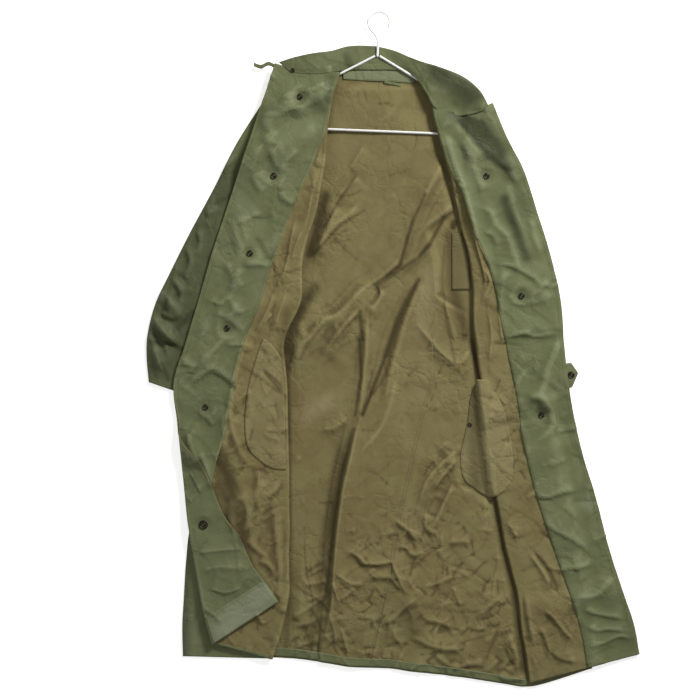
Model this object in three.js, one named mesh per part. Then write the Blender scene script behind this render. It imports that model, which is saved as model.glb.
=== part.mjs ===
// Long raincoat on a wire hanger, open and laid on its back.
// Millimetres, +Z up, hem toward -Y. Right and left are the wearer's own.
import * as THREE from "three";

// Cloth and seams
const WALL = 1.2;
const BACK_WALL = 1.4;
const TRIM_WALL = 1.0;
const SEWN_ON = 1.8;
const PATCH_ON = 2.2;
const EDGE_STRIP = 2.5;

// Heights of the layers, at the middle of each wall
const BACK_HEIGHT = BACK_WALL / 2;
const MIDDLE_HEIGHT = 2.9;
const FREE_HEIGHT = 2.2;
const FOLD_RISE = 5.1;
const HANGER_LIFT = 7;
const FLAP_RADIUS = 3.6;

// Sleeves
const SLEEVE_HALF_GAP = 1.7;
const SLEEVE_ROUND = 16;
const RIGHT_SLEEVE_HEIGHT = 0.6;
const LEFT_SLEEVE_HEIGHT = 4.6;
const RIGHT_SLEEVE_COVER = 3.8;
const LEFT_SLEEVE_COVER = 8.2;

// Hanger
const WIRE_RADIUS = 2.3;
const HANGER_X = -28;
const HANGER_Y = 523;
const HANGER_Z = 6.5;
const HANGER_TURN = -0.04;
const ARM_HALF = 182;
const ARM_SLOPE = 0.557;
const BAR_DROP = 137;

// Press studs
const STUD_RADIUS = 5.4;
const STUD_HEIGHT = 1.7;
const STUD_GAP = 0.35;

const GREEN = { color: 0x5f6850, roughness: 0.55, metalness: 0 };
const BROWN = { color: 0x75694a, roughness: 0.9, metalness: 0 };
const TAN = { color: 0x857c58, roughness: 0.9, metalness: 0 };
const DARK_METAL = { color: 0x2f2d2a, roughness: 0.45, metalness: 0.8 };
const WHITE_WIRE = { color: 0xdcdcd8, roughness: 0.4, metalness: 0.1 };

// Back panel: its two side lines from shoulder to hem
const BACK_SIDES = [
  { rightX: -230, rightY: 443, leftX: 169, leftY: 425 },
  { rightX: -214, rightY: 371, leftX: 158, leftY: 362 },
  { rightX: -206, rightY: 299, leftX: 150, leftY: 290 },
  { rightX: -210, rightY: 223, leftX: 174, leftY: 218 },
  { rightX: -206, rightY: 151, leftX: 215, leftY: 151 },
  { rightX: -204, rightY: 74, leftX: 246, leftY: 74 },
  { rightX: -218, rightY: -7, leftX: 266, leftY: -7 },
  { rightX: -246, rightY: -83, leftX: 276, leftY: -97 },
  { rightX: -286, rightY: -155, leftX: 289, leftY: -187 },
  { rightX: -331, rightY: -238, leftX: 307, leftY: -277 },
  { rightX: -361, rightY: -326, leftX: 327, leftY: -358 },
  { rightX: -370, rightY: -389, leftX: 343, leftY: -439 },
  { rightX: -375, rightY: -457, leftX: 354, leftY: -511 },
  { rightX: -376, rightY: -554, leftX: 358, leftY: -580 },
];

// Shoulders and neckline, and the hem, from the right side to the left
const BACK_TOP = [
  { x: -230, y: 443 }, { x: -167, y: 475 }, { x: -117, y: 500 }, { x: -90, y: 506 },
  { x: -59, y: 500 }, { x: -29, y: 499 }, { x: 2, y: 500 }, { x: 27, y: 506 },
  { x: 58, y: 502 }, { x: 103, y: 484 }, { x: 139, y: 468 }, { x: 158, y: 448 },
  { x: 169, y: 425 },
];
const BACK_HEM = [
  { x: -376, y: -554 }, { x: -302, y: -558 }, { x: -225, y: -560 }, { x: -167, y: -563 },
  { x: -113, y: -571 }, { x: -74, y: -577 }, { x: -5, y: -580 }, { x: 31, y: -585 },
  { x: 85, y: -591 }, { x: 139, y: -598 }, { x: 202, y: -608 }, { x: 238, y: -613 },
  { x: 274, y: -607 }, { x: 358, y: -580 },
];

// Raised folds: each runs from a to b and stands up by high over a half width of wide
const BACK_FOLDS = [
  { aX: -61, aY: -59, bX: -68, bY: -148, high: 9, wide: 20 },
  { aX: -68, aY: -148, bX: -92, bY: -241, high: 12, wide: 22 },
  { aX: -92, aY: -241, bX: -108, bY: -344, high: 13, wide: 22 },
  { aX: -108, aY: -344, bX: -115, bY: -430, high: 12, wide: 20 },
  { aX: -115, aY: -430, bX: -130, bY: -540, high: 12, wide: 20 },
  { aX: 67, aY: 295, bX: 13, bY: 151, high: 9, wide: 18 },
  { aX: 13, aY: 151, bX: -77, bY: 74, high: 9, wide: 20 },
  { aX: -77, aY: 74, bX: -150, bY: -7, high: 8, wide: 20 },
  { aX: 79, aY: 205, bX: 34, bY: 104, high: 7, wide: 18 },
  { aX: 34, aY: 104, bX: -9, bY: -4, high: 8, wide: 20 },
  { aX: -9, aY: -4, bX: -52, bY: -106, high: 8, wide: 20 },
];

// Front panels, one row for each section from shoulder to hem: the side seam, the inner
// fold where the panel turns back on itself, and its outer line, which is the front edge
// or, lower on the right front, the fold of the turned corner. flap is the width of that
// corner, curl how far it has turned over and turn the way it points, both in degrees.
const FRONT_RIGHT = [
  { sideX: -232, sideY: 436, foldX: -95, foldY: 490, edgeX: -212, edgeY: 506,
    bow: -7, facing: 112, flap: 4, curl: 0, turn: 0 },
  { sideX: -214, sideY: 371, foldX: -112, foldY: 421, edgeX: -241, edgeY: 418,
    bow: 0, facing: 124, flap: 4, curl: 0, turn: 0 },
  { sideX: -206, sideY: 299, foldX: -122, foldY: 340, edgeX: -268, edgeY: 337,
    bow: 0, facing: 122, flap: 4, curl: 0, turn: 0 },
  { sideX: -210, sideY: 223, foldX: -135, foldY: 250, edgeX: -295, edgeY: 257,
    bow: 0, facing: 120, flap: 4, curl: 0, turn: 0 },
  { sideX: -206, sideY: 151, foldX: -160, foldY: 162, edgeX: -324, edgeY: 169,
    bow: 0, facing: 114, flap: 4, curl: 0, turn: 0 },
  { sideX: -204, sideY: 74, foldX: -166, foldY: 83, edgeX: -349, edgeY: 83,
    bow: 0, facing: 112, flap: 4, curl: 0, turn: 0 },
  { sideX: -219, sideY: -7, foldX: -194, foldY: 7, edgeX: -373, edgeY: 2,
    bow: 0, facing: 106, flap: 4, curl: 0, turn: 0 },
  { sideX: -248, sideY: -83, foldX: -191, foldY: -65, edgeX: -394, edgeY: -68,
    bow: 0, facing: 108, flap: 4, curl: 0, turn: 0 },
  { sideX: -290, sideY: -151, foldX: -189, foldY: -140, edgeX: -387, edgeY: -140,
    bow: 0, facing: 92, flap: 5, curl: 70, turn: 0 },
  { sideX: -335, sideY: -232, foldX: -187, foldY: -223, edgeX: -378, edgeY: -223,
    bow: 0, facing: 102, flap: 40, curl: 180, turn: 4 },
  { sideX: -364, sideY: -322, foldX: -186, foldY: -317, edgeX: -369, edgeY: -310,
    bow: 0, facing: 102, flap: 66, curl: 180, turn: 8 },
  { sideX: -372, sideY: -385, foldX: -187, foldY: -389, edgeX: -358, edgeY: -378,
    bow: 0, facing: 100, flap: 91, curl: 180, turn: 25 },
  { sideX: -376, sideY: -448, foldX: -189, foldY: -446, edgeX: -347, edgeY: -443,
    bow: 0, facing: 98, flap: 108, curl: 180, turn: 30 },
  { sideX: -379, sideY: -504, foldX: -198, foldY: -502, edgeX: -337, edgeY: -491,
    bow: 0, facing: 98, flap: 128, curl: 180, turn: 33 },
  { sideX: -378, sideY: -558, foldX: -216, foldY: -563, edgeX: -325, edgeY: -533,
    bow: 0, facing: 98, flap: 143, curl: 180, turn: 33 },
];
const FRONT_LEFT = [
  { sideX: 166, sideY: 420, foldX: 70, foldY: 430, edgeX: 178, edgeY: 434, bow: -15, facing: 103 },
  { sideX: 156, sideY: 362, foldX: 85, foldY: 371, edgeX: 203, edgeY: 374, bow: -3, facing: 112 },
  { sideX: 149, sideY: 290, foldX: 106, foldY: 295, edgeX: 234, edgeY: 313, bow: 0, facing: 122 },
  { sideX: 172, sideY: 218, foldX: 121, foldY: 223, edgeX: 259, edgeY: 236, bow: 0, facing: 116 },
  { sideX: 213, sideY: 151, foldX: 139, foldY: 151, edgeX: 283, edgeY: 158, bow: 0, facing: 115 },
  { sideX: 244, sideY: 74, foldX: 144, foldY: 72, edgeX: 301, edgeY: 76, bow: 0, facing: 113 },
  { sideX: 264, sideY: -7, foldX: 150, foldY: -7, edgeX: 307, edgeY: -7, bow: 0, facing: 103 },
  { sideX: 275, sideY: -97, foldX: 162, foldY: -97, edgeX: 319, edgeY: -97, bow: 0, facing: 97 },
  { sideX: 287, sideY: -187, foldX: 175, foldY: -187, edgeX: 338, edgeY: -184, bow: 0, facing: 102 },
  { sideX: 305, sideY: -277, foldX: 187, foldY: -277, edgeX: 365, edgeY: -274, bow: 0, facing: 106 },
  { sideX: 325, sideY: -358, foldX: 202, foldY: -358, edgeX: 385, edgeY: -353, bow: 0, facing: 100 },
  { sideX: 341, sideY: -439, foldX: 220, foldY: -439, edgeX: 410, edgeY: -432, bow: 0, facing: 98 },
  { sideX: 353, sideY: -511, foldX: 232, foldY: -515, edgeX: 432, edgeY: -497, bow: 0, facing: 97 },
  { sideX: 358, sideY: -580, foldX: 247, foldY: -605, edgeX: 443, edgeY: -554, bow: 0, facing: 97 },
];
const RIGHT_FRONT_FOLDS = [
  { aX: -165, aY: 425, bX: -118, bY: 455, high: 12, wide: 13 },
  { aX: -225, aY: 400, bX: -170, bY: 452, high: 9, wide: 14 },
  { aX: -270, aY: 330, bX: -150, bY: 380, high: 6, wide: 22 },
  { aX: -250, aY: 160, bX: -185, bY: 205, high: 4, wide: 18 },
  { aX: -330, aY: 40, bX: -240, bY: 75, high: 4, wide: 20 },
  { aX: -330, aY: -300, bX: -240, bY: -260, high: 4, wide: 20 },
];
const LEFT_FRONT_FOLDS = [
  { aX: 100, aY: 402, bX: 150, bY: 350, high: 9, wide: 13 },
  { aX: 150, aY: 350, bX: 200, bY: 318, high: 7, wide: 15 },
  { aX: 95, aY: 360, bX: 118, bY: 290, high: 6, wide: 12 },
  { aX: 200, aY: 120, bX: 270, bY: 90, high: 4, wide: 18 },
  { aX: 240, aY: -200, bX: 310, bY: -170, high: 4, wide: 20 },
  { aX: 270, aY: -470, bX: 390, bY: -440, high: 4, wide: 22 },
];

// Sleeves, laid flat: the outer and the inner line of each section from armhole to cuff
const SLEEVE_RIGHT = [
  { outerX: -237, outerY: 434, innerX: -214, innerY: 212, bow: 12 },
  { outerX: -281, outerY: 364, innerX: -224, innerY: 151, bow: 3 },
  { outerX: -322, outerY: 283, innerX: -230, innerY: 101, bow: 0 },
  { outerX: -364, outerY: 205, innerX: -238, innerY: 50, bow: 0 },
  { outerX: -400, outerY: 133, innerX: -250, innerY: 2, bow: 0 },
  { outerX: -427, outerY: 76, innerX: -261, innerY: -40, bow: 0 },
  { outerX: -441, outerY: 22, innerX: -270, innerY: -76, bow: 0 },
  { outerX: -443, outerY: -18, innerX: -277, innerY: -97, bow: 0 },
  { outerX: -439, outerY: -65, innerX: -284, innerY: -119, bow: 0 },
];
const SLEEVE_LEFT = [
  { outerX: 169, outerY: 412, innerX: 146, innerY: 212, bow: 0 },
  { outerX: 198, outerY: 351, innerX: 149, innerY: 151, bow: 0 },
  { outerX: 230, outerY: 268, innerX: 151, innerY: 90, bow: 0 },
  { outerX: 257, outerY: 191, innerX: 155, innerY: 43, bow: 0 },
  { outerX: 277, outerY: 119, innerX: 158, innerY: 0, bow: 0 },
  { outerX: 293, outerY: 56, innerX: 162, innerY: -36, bow: 0 },
  { outerX: 302, outerY: 0, innerX: 166, innerY: -65, bow: 0 },
  { outerX: 304, outerY: -47, innerX: 167, innerY: -85, bow: 0 },
];
const RIGHT_SLEEVE_FOLDS = [
  { aX: -425, aY: 42, bX: -392, bY: 8, high: 7, wide: 9 },
  { aX: -392, aY: 8, bX: -376, bY: -6, high: 6, wide: 8 },
  { aX: -418, aY: 90, bX: -385, bY: 64, high: 6, wide: 10 },
  { aX: -436, aY: 10, bX: -420, bY: -45, high: 4, wide: 10 },
];

// Collar, spread open: its outer edge and its neck seam from the right end to the left
const COLLAR = [
  { outerX: -205, outerY: 508, neckX: -184, neckY: 494, height: 17.5 },
  { outerX: -176, outerY: 517, neckX: -158, neckY: 491, height: 17.5 },
  { outerX: -144, outerY: 524, neckX: -131, neckY: 490, height: 17 },
  { outerX: -112, outerY: 529, neckX: -106, neckY: 494, height: 11 },
  { outerX: -83, outerY: 538, neckX: -85, neckY: 499, height: 3.4 },
  { outerX: -56, outerY: 540, neckX: -59, neckY: 502, height: 2.9 },
  { outerX: -27, outerY: 538, neckX: -29, neckY: 503, height: 2.9 },
  { outerX: 2, outerY: 531, neckX: -4, neckY: 506, height: 2.9 },
  { outerX: 27, outerY: 520, neckX: 18, neckY: 504, height: 4.6 },
  { outerX: 50, outerY: 509, neckX: 37, neckY: 488, height: 12 },
  { outerX: 74, outerY: 499, neckX: 54, neckY: 462, height: 17.5 },
  { outerX: 95, outerY: 489, neckX: 72, neckY: 437, height: 20.4 },
  { outerX: 113, outerY: 481, neckX: 98, neckY: 424, height: 20.6 },
  { outerX: 131, outerY: 472, neckX: 144, neckY: 430, height: 20.6 },
];

// Press studs along the two front edges, and on the left pocket bag
const RIGHT_STUDS = [
  { x: -167, y: 446 }, { x: -214, y: 305 }, { x: -257, y: 166 }, { x: -298, y: 32 },
  { x: -337, y: -110 },
];
const LEFT_STUDS = [
  { x: 167, y: 304 }, { x: 230, y: 90 }, { x: 266, y: -124 },
];
const FLAP_STUD = { x: -340, y: -320 };

// Curves through table rows

function spline(list, t) {
  const last = list.length - 1;
  const place = Math.min(Math.max(t, 0), 1) * last;
  const k = Math.min(Math.floor(place), last - 1);
  const f = place - k;
  const p1 = list[k];
  const p2 = list[k + 1];
  const p0 = k > 0 ? list[k - 1] : 2 * p1 - p2;
  const p3 = k + 2 <= last ? list[k + 2] : 2 * p2 - p1;
  const m1 = (p2 - p0) / 2;
  const m2 = (p3 - p1) / 2;
  const f2 = f * f;
  const f3 = f2 * f;
  return (2 * f3 - 3 * f2 + 1) * p1 + (f3 - 2 * f2 + f) * m1
    + (3 * f2 - 2 * f3) * p2 + (f3 - f2) * m2;
}

function row(rows, t) {
  const found = {};
  for (const key of Object.keys(rows[0])) {
    found[key] = spline(rows.map((entry) => entry[key]), t);
  }
  return found;
}

// x of a line that runs down the coat, at a given y
function lineX(rows, keyX, keyY, y) {
  let low = 0;
  let high = 1;
  for (let i = 0; i < 22; i += 1) {
    const middle = (low + high) / 2;
    if (spline(rows.map((entry) => entry[keyY]), middle) > y) {
      low = middle;
    } else {
      high = middle;
    }
  }
  return spline(rows.map((entry) => entry[keyX]), low);
}

function step(from, to, x) {
  const f = Math.min(Math.max((x - from) / (to - from), 0), 1);
  return f * f * (3 - 2 * f);
}

function mix(a, b, f) {
  return a + (b - a) * f;
}

// Height of a set of raised folds over the point x, y
function folds(table, x, y) {
  let total = 0;
  for (const fold of table) {
    const dx = fold.bX - fold.aX;
    const dy = fold.bY - fold.aY;
    const along = ((x - fold.aX) * dx + (y - fold.aY) * dy) / (dx * dx + dy * dy);
    const held = Math.min(Math.max(along, 0), 1);
    const away = Math.hypot(x - fold.aX - held * dx, y - fold.aY - held * dy);
    total = Math.max(total, fold.high * Math.exp(-((away / fold.wide) ** 2)));
  }
  return total;
}

// Solids

function solid(name, geometry, look) {
  const mesh = new THREE.Mesh(geometry, new THREE.MeshStandardMaterial(look));
  mesh.name = name;
  return mesh;
}

function closed(points, faces) {
  const positions = [];
  points.forEach((p) => positions.push(p.x, p.y, p.z));
  const geometry = new THREE.BufferGeometry();
  geometry.setAttribute("position", new THREE.Float32BufferAttribute(positions, 3));
  let volume = 0;
  for (const [a, b, c] of faces) {
    volume += points[a].dot(new THREE.Vector3().crossVectors(points[b], points[c]));
  }
  const indices = [];
  faces.forEach(([a, b, c]) => indices.push(a, volume > 0 ? b : c, volume > 0 ? c : b));
  geometry.setIndex(indices);
  geometry.computeVertexNormals();
  return geometry;
}

// Middle surface of a wall as a grid of points with their normals
function gridOf(place, across, along, upright) {
  const grid = along.map((v) => across.map((u) => place(u, v)));
  const rows = grid.length;
  const columns = grid[0].length;
  return grid.map((line, j) => line.map((point, i) => {
    if (upright) {
      return { point, normal: new THREE.Vector3(0, 0, 1) };
    }
    const du = new THREE.Vector3().subVectors(
      grid[j][Math.min(i + 1, columns - 1)], grid[j][Math.max(i - 1, 0)]);
    const dv = new THREE.Vector3().subVectors(
      grid[Math.min(j + 1, rows - 1)][i], grid[Math.max(j - 1, 0)][i]);
    return { point, normal: new THREE.Vector3().crossVectors(du, dv).normalize() };
  }));
}

// Wall of even thickness over a grid, closed round its rim
function wallOver(grid, wall) {
  const rows = grid.length;
  const columns = grid[0].length;
  const points = [];
  for (const side of [0.5, -0.5]) {
    for (const line of grid) {
      for (const { point, normal } of line) {
        points.push(point.clone().addScaledVector(normal, side * wall));
      }
    }
  }
  const at = (i, j, layer) => layer * rows * columns + j * columns + i;
  const faces = [];
  for (let j = 0; j < rows - 1; j += 1) {
    for (let i = 0; i < columns - 1; i += 1) {
      faces.push([at(i, j, 0), at(i + 1, j, 0), at(i + 1, j + 1, 0)]);
      faces.push([at(i, j, 0), at(i + 1, j + 1, 0), at(i, j + 1, 0)]);
      faces.push([at(i, j, 1), at(i + 1, j + 1, 1), at(i + 1, j, 1)]);
      faces.push([at(i, j, 1), at(i, j + 1, 1), at(i + 1, j + 1, 1)]);
    }
  }
  const rim = (i, j, k, l) => {
    faces.push([at(i, j, 0), at(i, j, 1), at(k, l, 1)]);
    faces.push([at(i, j, 0), at(k, l, 1), at(k, l, 0)]);
  };
  for (let i = 0; i < columns - 1; i += 1) {
    rim(i, 0, i + 1, 0);
    rim(i + 1, rows - 1, i, rows - 1);
  }
  for (let j = 0; j < rows - 1; j += 1) {
    rim(0, j + 1, 0, j);
    rim(columns - 1, j, columns - 1, j + 1);
  }
  return closed(points, faces);
}

function sheet(name, look, place, across, along, wall, upright = false) {
  return solid(name, wallOver(gridOf(place, across, along, upright), wall), look);
}

function even(count, from = 0, to = 1) {
  return Array.from({ length: count + 1 }, (_, k) => mix(from, to, k / count));
}

// Layer heights

function hangerRise(y) {
  return HANGER_LIFT * step(205, 368, y);
}

function middleHeight(x, y) {
  return MIDDLE_HEIGHT + hangerRise(y);
}

function rightTopHeight(x, y) {
  const inside = x - lineX(FRONT_RIGHT, "sideX", "sideY", y);
  const cuffLine = -65 - 0.35 * (x + 439);
  const onSleeve = RIGHT_SLEEVE_COVER * step(-45, -5, y - cuffLine);
  const onMiddle = FOLD_RISE * step(-30, 0, inside);
  return FREE_HEIGHT + hangerRise(y) + Math.max(onSleeve, onMiddle)
    + folds(RIGHT_FRONT_FOLDS, x, y);
}

function leftTopHeight(x, y) {
  const inside = lineX(FRONT_LEFT, "sideX", "sideY", y) - x;
  const pastInner = x - lineX(SLEEVE_LEFT, "innerX", "innerY", Math.min(y, 205));
  const cuffLine = -47 + 0.277 * (x - 304);
  const onSleeve = LEFT_SLEEVE_COVER * step(-40, -8, pastInner) * step(-100, -38, y - cuffLine);
  const onMiddle = FOLD_RISE * step(-30, 0, inside);
  return FREE_HEIGHT + hangerRise(y) + Math.max(onSleeve, onMiddle)
    + folds(LEFT_FRONT_FOLDS, x, y);
}

// Front panels

// A front as one strip: 0 to 1 from the side seam to the inner fold, 1 to 2 round that
// fold, 2 to 3 over the top layer, and 3 to 4 round and along the turned corner.
function makeFront(rows, topHeight) {
  const section = (t) => {
    const r = row(rows, t);
    const side = new THREE.Vector2(r.sideX, r.sideY);
    const fold = new THREE.Vector2(r.foldX, r.foldY);
    const edge = new THREE.Vector2(r.edgeX, r.edgeY);
    const outward = new THREE.Vector2().subVectors(edge, fold).normalize();
    const low = middleHeight(fold.x, fold.y);
    const high = topHeight(fold.x, fold.y);
    const radius = (high - low) / 2;
    const turned = fold.clone().addScaledVector(outward, radius);
    const curl = THREE.MathUtils.degToRad(Math.min(Math.max(r.curl || 0, 0), 180));
    const rest = Math.max(EDGE_STRIP, (r.flap || 0) - FLAP_RADIUS);
    const reach = curl < Math.PI / 2
      ? FLAP_RADIUS * Math.sin(curl) + rest * Math.cos(curl) : FLAP_RADIUS;
    const brink = edge.clone().addScaledVector(outward, -reach);
    const angle = THREE.MathUtils.degToRad(r.turn || 0);
    const back = new THREE.Vector2(Math.cos(angle), Math.sin(angle));
    return { r, side, outward, low, high, radius, turned, curl, rest, brink, back };
  };
  const lay = (p, rise) => new THREE.Vector3(p.x, p.y, topHeight(p.x, p.y) + rise);
  const point = (c, t) => {
    const s = section(t);
    const plan = new THREE.Vector2();
    if (c <= 1) {
      plan.lerpVectors(s.side, s.turned, c);
      const level = middleHeight(plan.x, plan.y);
      return new THREE.Vector3(plan.x, plan.y, mix(level, s.low, step(0.6, 1, c)));
    }
    if (c < 2) {
      const angle = (c - 1.5) * Math.PI;
      plan.copy(s.turned).addScaledVector(s.outward, -s.radius * Math.cos(angle));
      return new THREE.Vector3(plan.x, plan.y, (s.low + s.high) / 2 + s.radius * Math.sin(angle));
    }
    if (c <= 3) {
      plan.lerpVectors(s.turned, s.brink, c - 2);
      plan.y += s.r.bow * Math.sin(Math.PI * (c - 2));
      return lay(plan, 0);
    }
    const length = FLAP_RADIUS * s.curl + s.rest;
    const gone = (c - 3) * length;
    const round = Math.min(gone, FLAP_RADIUS * s.curl) / FLAP_RADIUS;
    const past = gone - round * FLAP_RADIUS;
    plan.copy(s.brink).addScaledVector(s.outward, FLAP_RADIUS * Math.sin(round));
    if (s.curl > Math.PI / 2) {
      plan.addScaledVector(s.back, -past * Math.cos(s.curl));
    } else {
      plan.addScaledVector(s.outward, past * Math.cos(s.curl));
    }
    return lay(plan, FLAP_RADIUS * (1 - Math.cos(round)) + past * Math.sin(s.curl));
  };
  // Strip place of the facing's inner seam, a given way in from the front edge
  const seam = (t) => {
    const s = section(t);
    const way = s.r.facing - FLAP_RADIUS * s.curl - s.rest;
    return Math.min(Math.max(3 - way / s.turned.distanceTo(s.brink), 2.04), 2.88);
  };
  return { point, seam };
}

const frontRight = makeFront(FRONT_RIGHT, rightTopHeight);
const frontLeft = makeFront(FRONT_LEFT, leftTopHeight);

// Lines across a front, placed so that one of them runs down the facing's inner seam
function frontGrid(front, count, tail) {
  return even(count).map((t) => {
    const seam = front.seam(t);
    const across = [
      ...even(4), ...even(5, 1, 2).slice(1), ...even(4, 2, seam).slice(1),
      ...even(7, seam, 3).slice(1), ...even(tail, 3, 4).slice(1),
    ];
    return across.map((c) => front.point(c, t));
  });
}
const SEAM_COLUMN = 13;
const BRINK_COLUMN = 20;

function frontPanel(name, front, count, tail) {
  const grid = frontGrid(front, count, tail);
  const across = grid[0].map((_, i) => i);
  return sheet(name, BROWN, (i, j) => grid[j][i], across, grid.map((_, j) => j), WALL);
}

// Facing: follows the top layer between its seam and the front edge
function facing(name, front, count, tail, rows) {
  const whole = frontGrid(front, count, tail);
  const cells = gridOf((i, j) => whole[j][i], whole[0].map((_, i) => i),
    whole.map((_, j) => j), false);
  const grid = cells.slice(0, rows).map((line) => line.slice(SEAM_COLUMN, BRINK_COLUMN + 1)
    .map(({ point, normal }) => {
      const up = normal.clone().multiplyScalar(Math.sign(normal.z));
      return { point: point.clone().addScaledVector(up, SEWN_ON), normal: up };
    }));
  return solid(name, wallOver(grid, TRIM_WALL), GREEN);
}

// Back panel, blended between its four border lines
function backPlan(u, v) {
  const side = row(BACK_SIDES, v);
  const top = row(BACK_TOP, u);
  const hem = row(BACK_HEM, u);
  const first = BACK_SIDES[0];
  const last = BACK_SIDES[BACK_SIDES.length - 1];
  const blend = (topV, hemV, rightV, leftV, a, b, c, d) => mix(topV, hemV, v)
    + mix(rightV, leftV, u) - mix(mix(a, b, u), mix(c, d, u), v);
  return new THREE.Vector2(
    blend(top.x, hem.x, side.rightX, side.leftX, first.rightX, first.leftX,
      last.rightX, last.leftX),
    blend(top.y, hem.y, side.rightY, side.leftY, first.rightY, first.leftY,
      last.rightY, last.leftY));
}

function backRise(x, y) {
  const fromRight = x - lineX(FRONT_RIGHT, "foldX", "foldY", y);
  const fromLeft = lineX(FRONT_LEFT, "foldX", "foldY", y) - x;
  const besideBag = 12 + 45 * step(-300, -270, y) * step(-40, -60, y)
    + 48 * step(75, 95, y) * step(235, 210, y);
  return folds(BACK_FOLDS, x, y) * step(4, 26, fromRight)
    * step(besideBag - 8, besideBag + 14, fromLeft) * step(330, 290, y);
}

function backPlace(u, v) {
  const plan = backPlan(u, v);
  return new THREE.Vector3(plan.x, plan.y, BACK_HEIGHT + backRise(plan.x, plan.y));
}

// Sleeve: a tube pressed flat, with raised folds in its upper side
function sleevePlace(rows, base, relief, angle, t) {
  const r = row(rows, t);
  const f = (1 - Math.cos(angle)) / 2;
  const x = mix(r.outerX, r.innerX, f) + r.bow * Math.sin(Math.PI * f);
  const y = mix(r.outerY, r.innerY, f);
  const lift = Math.min(Math.max(Math.sin(angle) / Math.sin(Math.PI / 8), -1), 1);
  const rise = lift > 0 ? relief(x, y) * lift : 0;
  return new THREE.Vector3(x, y, base(y) + SLEEVE_HALF_GAP * (1 + lift) + rise);
}

// The right sleeve's folds die out where the front lies over it
function rightSleeveRise(x, y) {
  const clear = lineX(FRONT_RIGHT, "edgeX", "edgeY", y) - x;
  return folds(RIGHT_SLEEVE_FOLDS, x, y) * step(14, 36, clear);
}

function sleeve(name, rows, base, relief, count) {
  const turns = even(SLEEVE_ROUND).slice(0, -1).map((f) => f * 2 * Math.PI);
  const rings = even(count).map((t) => turns.map((a) => sleevePlace(rows, base, relief, a, t)));
  const points = [];
  for (const side of [0.5, -0.5]) {
    rings.forEach((ring, j) => ring.forEach((point, i) => {
      const du = new THREE.Vector3().subVectors(
        ring[(i + 1) % SLEEVE_ROUND], ring[(i + SLEEVE_ROUND - 1) % SLEEVE_ROUND]);
      const dv = new THREE.Vector3().subVectors(
        rings[Math.min(j + 1, count)][i], rings[Math.max(j - 1, 0)][i]);
      const normal = new THREE.Vector3().crossVectors(du, dv).normalize();
      points.push(point.clone().addScaledVector(normal, side * WALL));
    }));
  }
  const at = (i, j, layer) => (layer * (count + 1) + j) * SLEEVE_ROUND + (i % SLEEVE_ROUND);
  const faces = [];
  for (let i = 0; i < SLEEVE_ROUND; i += 1) {
    for (let j = 0; j < count; j += 1) {
      faces.push([at(i, j, 0), at(i + 1, j, 0), at(i + 1, j + 1, 0)]);
      faces.push([at(i, j, 0), at(i + 1, j + 1, 0), at(i, j + 1, 0)]);
      faces.push([at(i, j, 1), at(i + 1, j + 1, 1), at(i + 1, j, 1)]);
      faces.push([at(i, j, 1), at(i, j + 1, 1), at(i + 1, j + 1, 1)]);
    }
    faces.push([at(i, 0, 0), at(i, 0, 1), at(i + 1, 0, 1)]);
    faces.push([at(i, 0, 0), at(i + 1, 0, 1), at(i + 1, 0, 0)]);
    faces.push([at(i + 1, count, 0), at(i + 1, count, 1), at(i, count, 1)]);
    faces.push([at(i + 1, count, 0), at(i, count, 1), at(i, count, 0)]);
  }
  return solid(name, closed(points, faces), GREEN);
}

function collarPlace(u, v) {
  const r = row(COLLAR, u);
  return new THREE.Vector3(mix(r.outerX, r.neckX, v), mix(r.outerY, r.neckY, v), r.height);
}

// Green facing inside the back neck
function neckFacingPlace(u, v) {
  const x = mix(-90, 38, u);
  const top = spline([492, 496, 497, 499, 497, 482], u);
  const low = spline([480, 478, 476.5, 475.5, 474, 472], u);
  return new THREE.Vector3(x, mix(top, low, v), 2.65);
}

function hangLoopPlace(u, v) {
  const x = spline([-16, -6, 4, 12, 22], u);
  const y = spline([477, 475, 473.5, 470, 461], u) - mix(0, 5, v);
  return new THREE.Vector3(x, y, spline([4.1, 4.1, 4.1, 3.4, 2.4], u));
}

// Narrow strap under the right end of the collar
function strapPlace(u, v) {
  const x = mix(-250, -198, u);
  const y = spline([509, 507, 509, 506, 503], u) - mix(0, 7, v);
  return new THREE.Vector3(x, y, spline([6.5, 8, 10, 12, 12.9], u));
}

// Pocket bags: tan cotton hanging inside each front
function rightBagPlace(u, v) {
  const y = mix(-6, -222, v);
  const reach = spline([0, 0, 0, 0.02, 0.1, 0.3, 0.86], v);
  const t = 0.43 + 0.17 * v;
  const seam = frontRight.point(frontRight.seam(t), t).x + 4;
  const fold = lineX(FRONT_RIGHT, "foldX", "foldY", y) - 5;
  const x = mix(mix(seam, fold, reach), fold, u);
  return new THREE.Vector3(x, y, rightTopHeight(x, y) + PATCH_ON);
}

function leftBagPlace(u, v) {
  const y = mix(-60, -264, v);
  const fold = lineX(FRONT_LEFT, "foldX", "foldY", y);
  const low = spline([150, 132, 124, 121, 124, 136, 166], v);
  const high = spline([200, 205, 207, 208, 209, 207, 196], v);
  const x = mix(low, high, u);
  const onTop = step(-20, -1, x - fold);
  return new THREE.Vector3(x, y, mix(2.5, leftTopHeight(x, y) + PATCH_ON, onTop));
}

function breastPocketPlace(u, v) {
  const y = mix(203, 101, v);
  const fold = lineX(FRONT_LEFT, "foldX", "foldY", y) - 3;
  return new THREE.Vector3(mix(97, fold, u), y, 2.5);
}

// Tab on the left cuff, which shows past the front edge
function cuffTabPlace(u, v) {
  const x = mix(305.2, mix(322, 331, Math.sin(Math.PI * v)), u);
  const y = mix(mix(-34, -78, v), mix(-36, -70, v), u);
  return new THREE.Vector3(x, y, mix(6.4, 5.2, u));
}

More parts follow.
